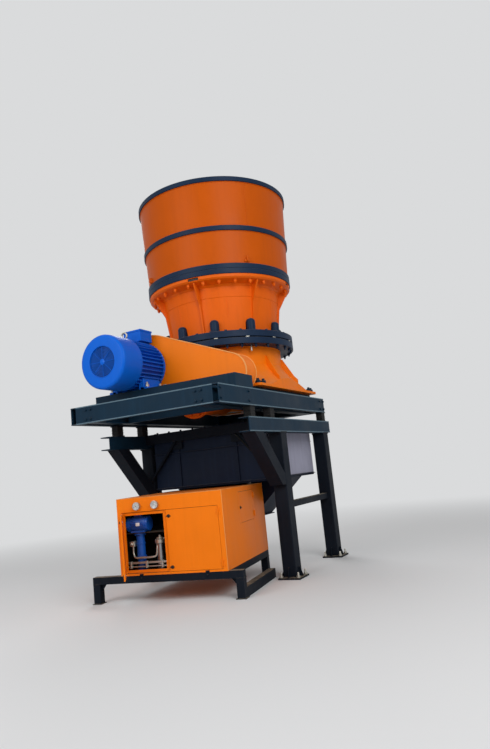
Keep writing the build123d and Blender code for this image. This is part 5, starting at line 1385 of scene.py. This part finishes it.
class CRUSHER_OT_door_fittings(bpy.types.Operator):
    """The latches of the three doors, and the left door's stiffening folds and keepers, which swing with them
    """

    bl_idname = "crusher.door_fittings"
    bl_label = "Door fittings"

    def execute(self, context):
        outwards, low, high = aimed((0, -1, 0)), 0.461, 1.155
        right, left = (copies(latch(), [(x, 0, low), (x, 0, high)], outwards) for x in (-0.815, -0.905))
        cabinet_piece("right_door_latches", right, "dark_paint_and_shade", "right_door")
        cabinet_piece("left_door_latches", on_left_leaf(left), "dark_paint_and_shade", "left_door")
        inner, thick = 0.0197, 0.004
        spans = ((-1.5, 0.47, -0.93, 0.5), (-1.5, 1.15, -0.93, 1.18),
                 (-1.5, 0.5, -1.47, 1.15), (-0.96, 0.5, -0.93, 1.15))
        pan = [slab((x0, inner, z0), (x1, inner + thick, z1), 0.001) for x0, z0, x1, z1 in spans]
        cabinet_piece("left_door_folds", on_left_leaf(joined(pan)), "orange_enamel", "left_door")
        keeper = lathe([(0.016, 0), (0.016, 0.008)], 12)
        keepers = copies(keeper, [(-0.985, inner, z) for z in (low, high)], aimed(BACK))
        cabinet_piece("left_door_keepers", on_left_leaf(keepers), "gauge_steel", "left_door")
        side = copies(latch(), (0, 0.735, 1.143), aimed((1, 0, 0)))
        cabinet_piece("side_door_latch", side, "dark_paint_and_shade", "side_door")
        return {"FINISHED"}


class CRUSHER_OT_bay_equipment(bpy.types.Operator):
    """The pump motor's fins, box and plate, the pump's flanges, the filter's head, pipes and the bay's
    near-black sheets, painted shade
    """

    bl_idname = "crusher.bay_equipment"
    bl_label = "Bay equipment"

    def execute(self, context):
        x, y, _ = PUMP_PLACE
        # Near-black sheets over the bay's inside: painted shade
        cabinet_piece("bay_lining", self.lining(), "dark_paint_and_shade")
        self.motor_details(PUMP_MOTOR_RADIUS)
        discs = []
        for z, r, thick in ((0.918, 0.088, 0.018), (0.78, 0.07, 0.02), (0.59, 0.074, 0.03),
                            (BAY_FLOOR, 0.09, 0.02)):
            disc = lathe([(r - 0.003, 0), (r, 0.003), (r, thick), (r - 0.003, thick)], 32)
            discs.append(moved(disc, (x, y, z)))
        ring = np.insert(circle_section(0.078, 6), 2, 0, axis=1) + (x, y, 0.917)
        cabinet_piece("pump_flanges", [*discs, bolted(0.015, ring, (0, 0, -1))], "pump_enamel")
        head = lathe([(0.062, 0.775), (0.074, 0.785), (0.074, 0.83), (0.05, 0.845), (0.05, 0.862),
                      (0.022, 0.866), (0.022, 0.89)], 32)
        foot = moved(lathe([(0.07, 0), (0.07, 0.015), (0.06, 0.02)], 32), (0, 0, BAY_FLOOR))
        cabinet_piece("filter_head", moved(joined(head, foot), (FILTER_X, y, 0)), "gauge_steel")
        cabinet_piece("bay_pipes", self.pipes(x, y, FILTER_X), "gauge_steel")
        return {"FINISHED"}

    def motor_details(self, r):
        """Fins round the lying motor, its two end collars and fan cover, its box with a lid and its plate."""
        x, y, z = PUMP_PLACE
        angle = np.radians(np.arange(-50, 231, 10))
        c, s, o = np.cos(angle), np.sin(angle), 0 * angle
        axes = np.stack([np.stack([o + 1, o, o], -1), np.stack([o, s, -c], -1), np.stack([o, c, s], -1)], -1)
        fin = slab((-0.095, -0.002, r - 0.004), (0.105, 0.002, r + 0.009), 0.0008)
        collar = lathe([(r - 0.004, 0), (r + 0.006, 0.002), (r + 0.006, 0.024), (r - 0.004, 0.026)], 36)
        cover = lathe([(r + 0.008, 0), (r + 0.008, 0.04), (r - 0.006, 0.05)], 36)
        shapes = [copies(fin, (x, y, z), axes),
                  copies(collar, [(x - 0.13, y, z), (x + 0.11, y, z)], aimed((1, 0, 0))),
                  copies(cover, (x - 0.118, y, z), aimed((-1, 0, 0))),
                  block(x, y, z + r - 0.01, 0.06, 0.05, 0.062, 0.006),
                  block(x, y, z + r + 0.04, 0.064, 0.054, 0.008)]
        cabinet_piece("pump_motor_fins", shapes, "pump_enamel")
        face = y - r - 0.009
        name_plate = slab((x, face - 0.0035, z - 0.02), (x + 0.06, face, z + 0.025), 0.001)
        cabinet_piece("pump_motor_plate", name_plate, "dial_card")

    def pipes(self, x, y, fx):
        """The valve block with its fitting, the pipe to the filter, a thin pipe that rises from the filter,
        and two straight pipes in clamps."""
        route = [(x - 0.1, y - 0.05, 0.757), (x - 0.1, y - 0.05, 0.66), (x - 0.06, y - 0.07, 0.6),
                 (x + 0.05, y - 0.075, 0.6), (x + 0.2, y - 0.075, 0.6), (fx - 0.045, y - 0.06, 0.62),
                 (fx - 0.03, y - 0.05, 0.72), (fx - 0.03, y - 0.02, 0.79)]
        riser = [(fx + 0.04, y, 0.84), (fx + 0.09, y - 0.01, 0.85), (fx + 0.13, y, 0.9),
                 (fx + 0.13, y + 0.02, 1.2)]
        shapes = [slab((x - 0.135, y - 0.09, 0.755), (x - 0.06, y - 0.015, 0.83), 0.006),
                  bolted(0.034, (x - 0.098, y - 0.09, 0.793), (0, -1, 0), point=0.02),
                  swept(smooth_path(route), circle_section(0.014), BACK),
                  swept(smooth_path(riser), circle_section(0.009, 10), BACK)]
        left, right, middle = -1.57, -0.92, y - 0.085
        shapes += [rod((left, middle, z), (right, middle, z), radius, 14)
                   for z, radius in ((0.53, 0.017), (0.475, 0.012))]
        return shapes + [slab((at - 0.014, y - 0.112, 0.455), (at + 0.014, y - 0.06, 0.555), 0.003)
                         for at in (-1.5, -1.25, -1.0)]

    def lining(self):
        """Thin near-black sheets just off the bay's walls, floor, roof and shelf: painted shade inside the
        bay.
        """
        t, front, back, foot, top = 0.002, 0.037, 0.640, BAY_FLOOR, 1.425
        left, right, rear = BAY_LEFT + t, BAY_RIGHT - t, back - t
        under, over, motor_left, motor_right = SHELF_TOP - 0.012, SHELF_TOP + 0.0015, -1.486, -1.261
        edge, end = 0.0995, 0.51
        walls = (((BAY_LEFT, rear, foot), (BAY_RIGHT, back, top)),
                 ((BAY_LEFT, front, foot), (left, rear, top)),
                 ((right, front, foot), (BAY_RIGHT, rear, top)),
                 ((left, front, foot), (right, rear, foot + t)),
                 ((left, front, top - t), (right, rear, top)))
        shelf = (((left, edge - 0.0015, under), (right, edge, over)),
                 ((left, edge, under), (right, end + t, under + 0.0015)),
                 ((left, edge, SHELF_TOP), (motor_left, end, over)),
                 ((motor_right, edge, SHELF_TOP), (right, end, over)),
                 ((motor_left, 0.262, SHELF_TOP), (motor_right, end, over)))
        return [slab(*ends, 0.0005) for ends in walls] + [slab(*ends, 0.0004) for ends in shelf]


class CRUSHER_OT_gauges(bpy.types.Operator):
    """Bezels, dials with tick marks, pointers and glasses of the two pressure gauges"""

    bl_idname = "crusher.gauges"
    bl_label = "Gauges"

    def execute(self, context):
        places = [(x, -0.0343, 1.328) for x in (-1.296, -1.011)]
        facing = aimed((0, -1, 0))
        rim = np.column_stack([circle_section(0.0525, 40), np.full(40, 0.003)])
        stem = lathe([(0.02, -0.03), (0.02, -0.01)], 12)
        bezel = joined(swept(rim, circle_section(0.0042, 8), loop=True), stem)
        cabinet_piece("gauge_bezels", copies(bezel, places, facing), "gauge_steel")
        card = lathe([(0.049, 0), (0.049, 0.001)], 40)
        cabinet_piece("gauge_dials", copies(card, places, facing), "dial_card")
        tick = slab((0.034, -0.0009, 0.0009), (0.043, 0.0009, 0.0014), 0.0002)
        pointer = slab((-0.01, -0.0016, 0.0016), (0.036, 0.0016, 0.0024), 0.0004)
        ticks = [turned_about(tick, angle) for angle in np.radians(np.linspace(-45, 225, 11))]
        hub = lathe([(0.005, 0.001), (0.005, 0.004)], 12)
        marks = [copies(joined(ticks, turned_about(pointer, math.radians(reading)), hub), place, facing)
                 for place, reading in zip(places, (150, 120))]
        cabinet_piece("gauge_marks", marks, "dark_paint_and_shade")
        glass = lathe([(0.0495, 0.0045), (0.0495, 0.006), (0.02, 0.0068)], 40)
        cabinet_piece("gauge_glasses", copies(glass, places, facing), "gauge_glass")
        return {"FINISHED"}


class CRUSHER_OT_skid_fittings(bpy.types.Operator):
    """Pads, gussets and welds of the skid"""

    bl_idname = "crusher.skid_fittings"
    bl_label = "Skid fittings"

    def execute(self, context):
        weld, half, thick, top = context.scene.crusher_sizes.weld * 0.8, 0.055, 0.008, box("skid_legs")[1, 2]
        left, right, back = -2.092, 0.205, CASE_DEPTH - half
        pads, seams = [], []
        for x, y in ((left + half, half), (right - half, half), (half - CASE_WIDTH, back), (-half, back)):
            pads.append(block(x, y, 0, 0.075, 0.075, thick))
            seams += [square_bead(x, y, z, half, weld) for z in (thick, top)]
        pads += [plate(gusset(0.09, -0.09, 0.012), 0.01, (x, half, top), (side, 0, 0), UP)
                 for x, side in ((left + 2 * half, 1), (right - 2 * half, -1))]
        cabinet_piece("skid_pads", pads, "stand_enamel")
        cabinet_piece("skid_welds", seams, "stand_enamel")
        return {"FINISHED"}


OPERATORS = (
    CRUSHER_OT_stage,
    CRUSHER_OT_finishes,
    CRUSHER_OT_bin_fittings,
    CRUSHER_OT_shell_fittings,
    CRUSHER_OT_clamp_fittings,
    CRUSHER_OT_chamber_fittings,
    CRUSHER_OT_frame_forms,
    CRUSHER_OT_motor_forms,
    CRUSHER_OT_motor_fittings,
    CRUSHER_OT_guard_fittings,
    CRUSHER_OT_platform_fittings,
    CRUSHER_OT_stand_fittings,
    CRUSHER_OT_chute_fittings,
    CRUSHER_OT_cabinet_fittings,
    CRUSHER_OT_door_fittings,
    CRUSHER_OT_bay_equipment,
    CRUSHER_OT_gauges,
    CRUSHER_OT_skid_fittings,
)


class CRUSHER_PT_panel(bpy.types.Panel):
    """Lists the operators in the sidebar"""

    bl_label = "Cone crusher"
    bl_idname = "CRUSHER_PT_panel"
    bl_space_type = "VIEW_3D"
    bl_region_type = "UI"
    bl_category = "Crusher"

    def draw(self, context):
        for operator in OPERATORS:
            self.layout.operator(operator.bl_idname)


GROUPS = {"crusher_colours": CrusherColours, "crusher_stage": CrusherStage, "crusher_sizes": CrusherSizes}
CLASSES = (*GROUPS.values(), *OPERATORS, CRUSHER_PT_panel)


def register():
    for cls in CLASSES:
        bpy.utils.register_class(cls)
    for name, group in GROUPS.items():
        setattr(bpy.types.Scene, name, PointerProperty(type=group))


def unregister():
    for name in GROUPS:
        delattr(bpy.types.Scene, name)
    for cls in reversed(CLASSES):
        bpy.utils.unregister_class(cls)


def main():
    """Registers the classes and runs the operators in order."""
    register()
    for operator in OPERATORS:
        group, name = operator.bl_idname.split(".")
        getattr(getattr(bpy.ops, group), name)()


if __name__ == "__main__":
    main()
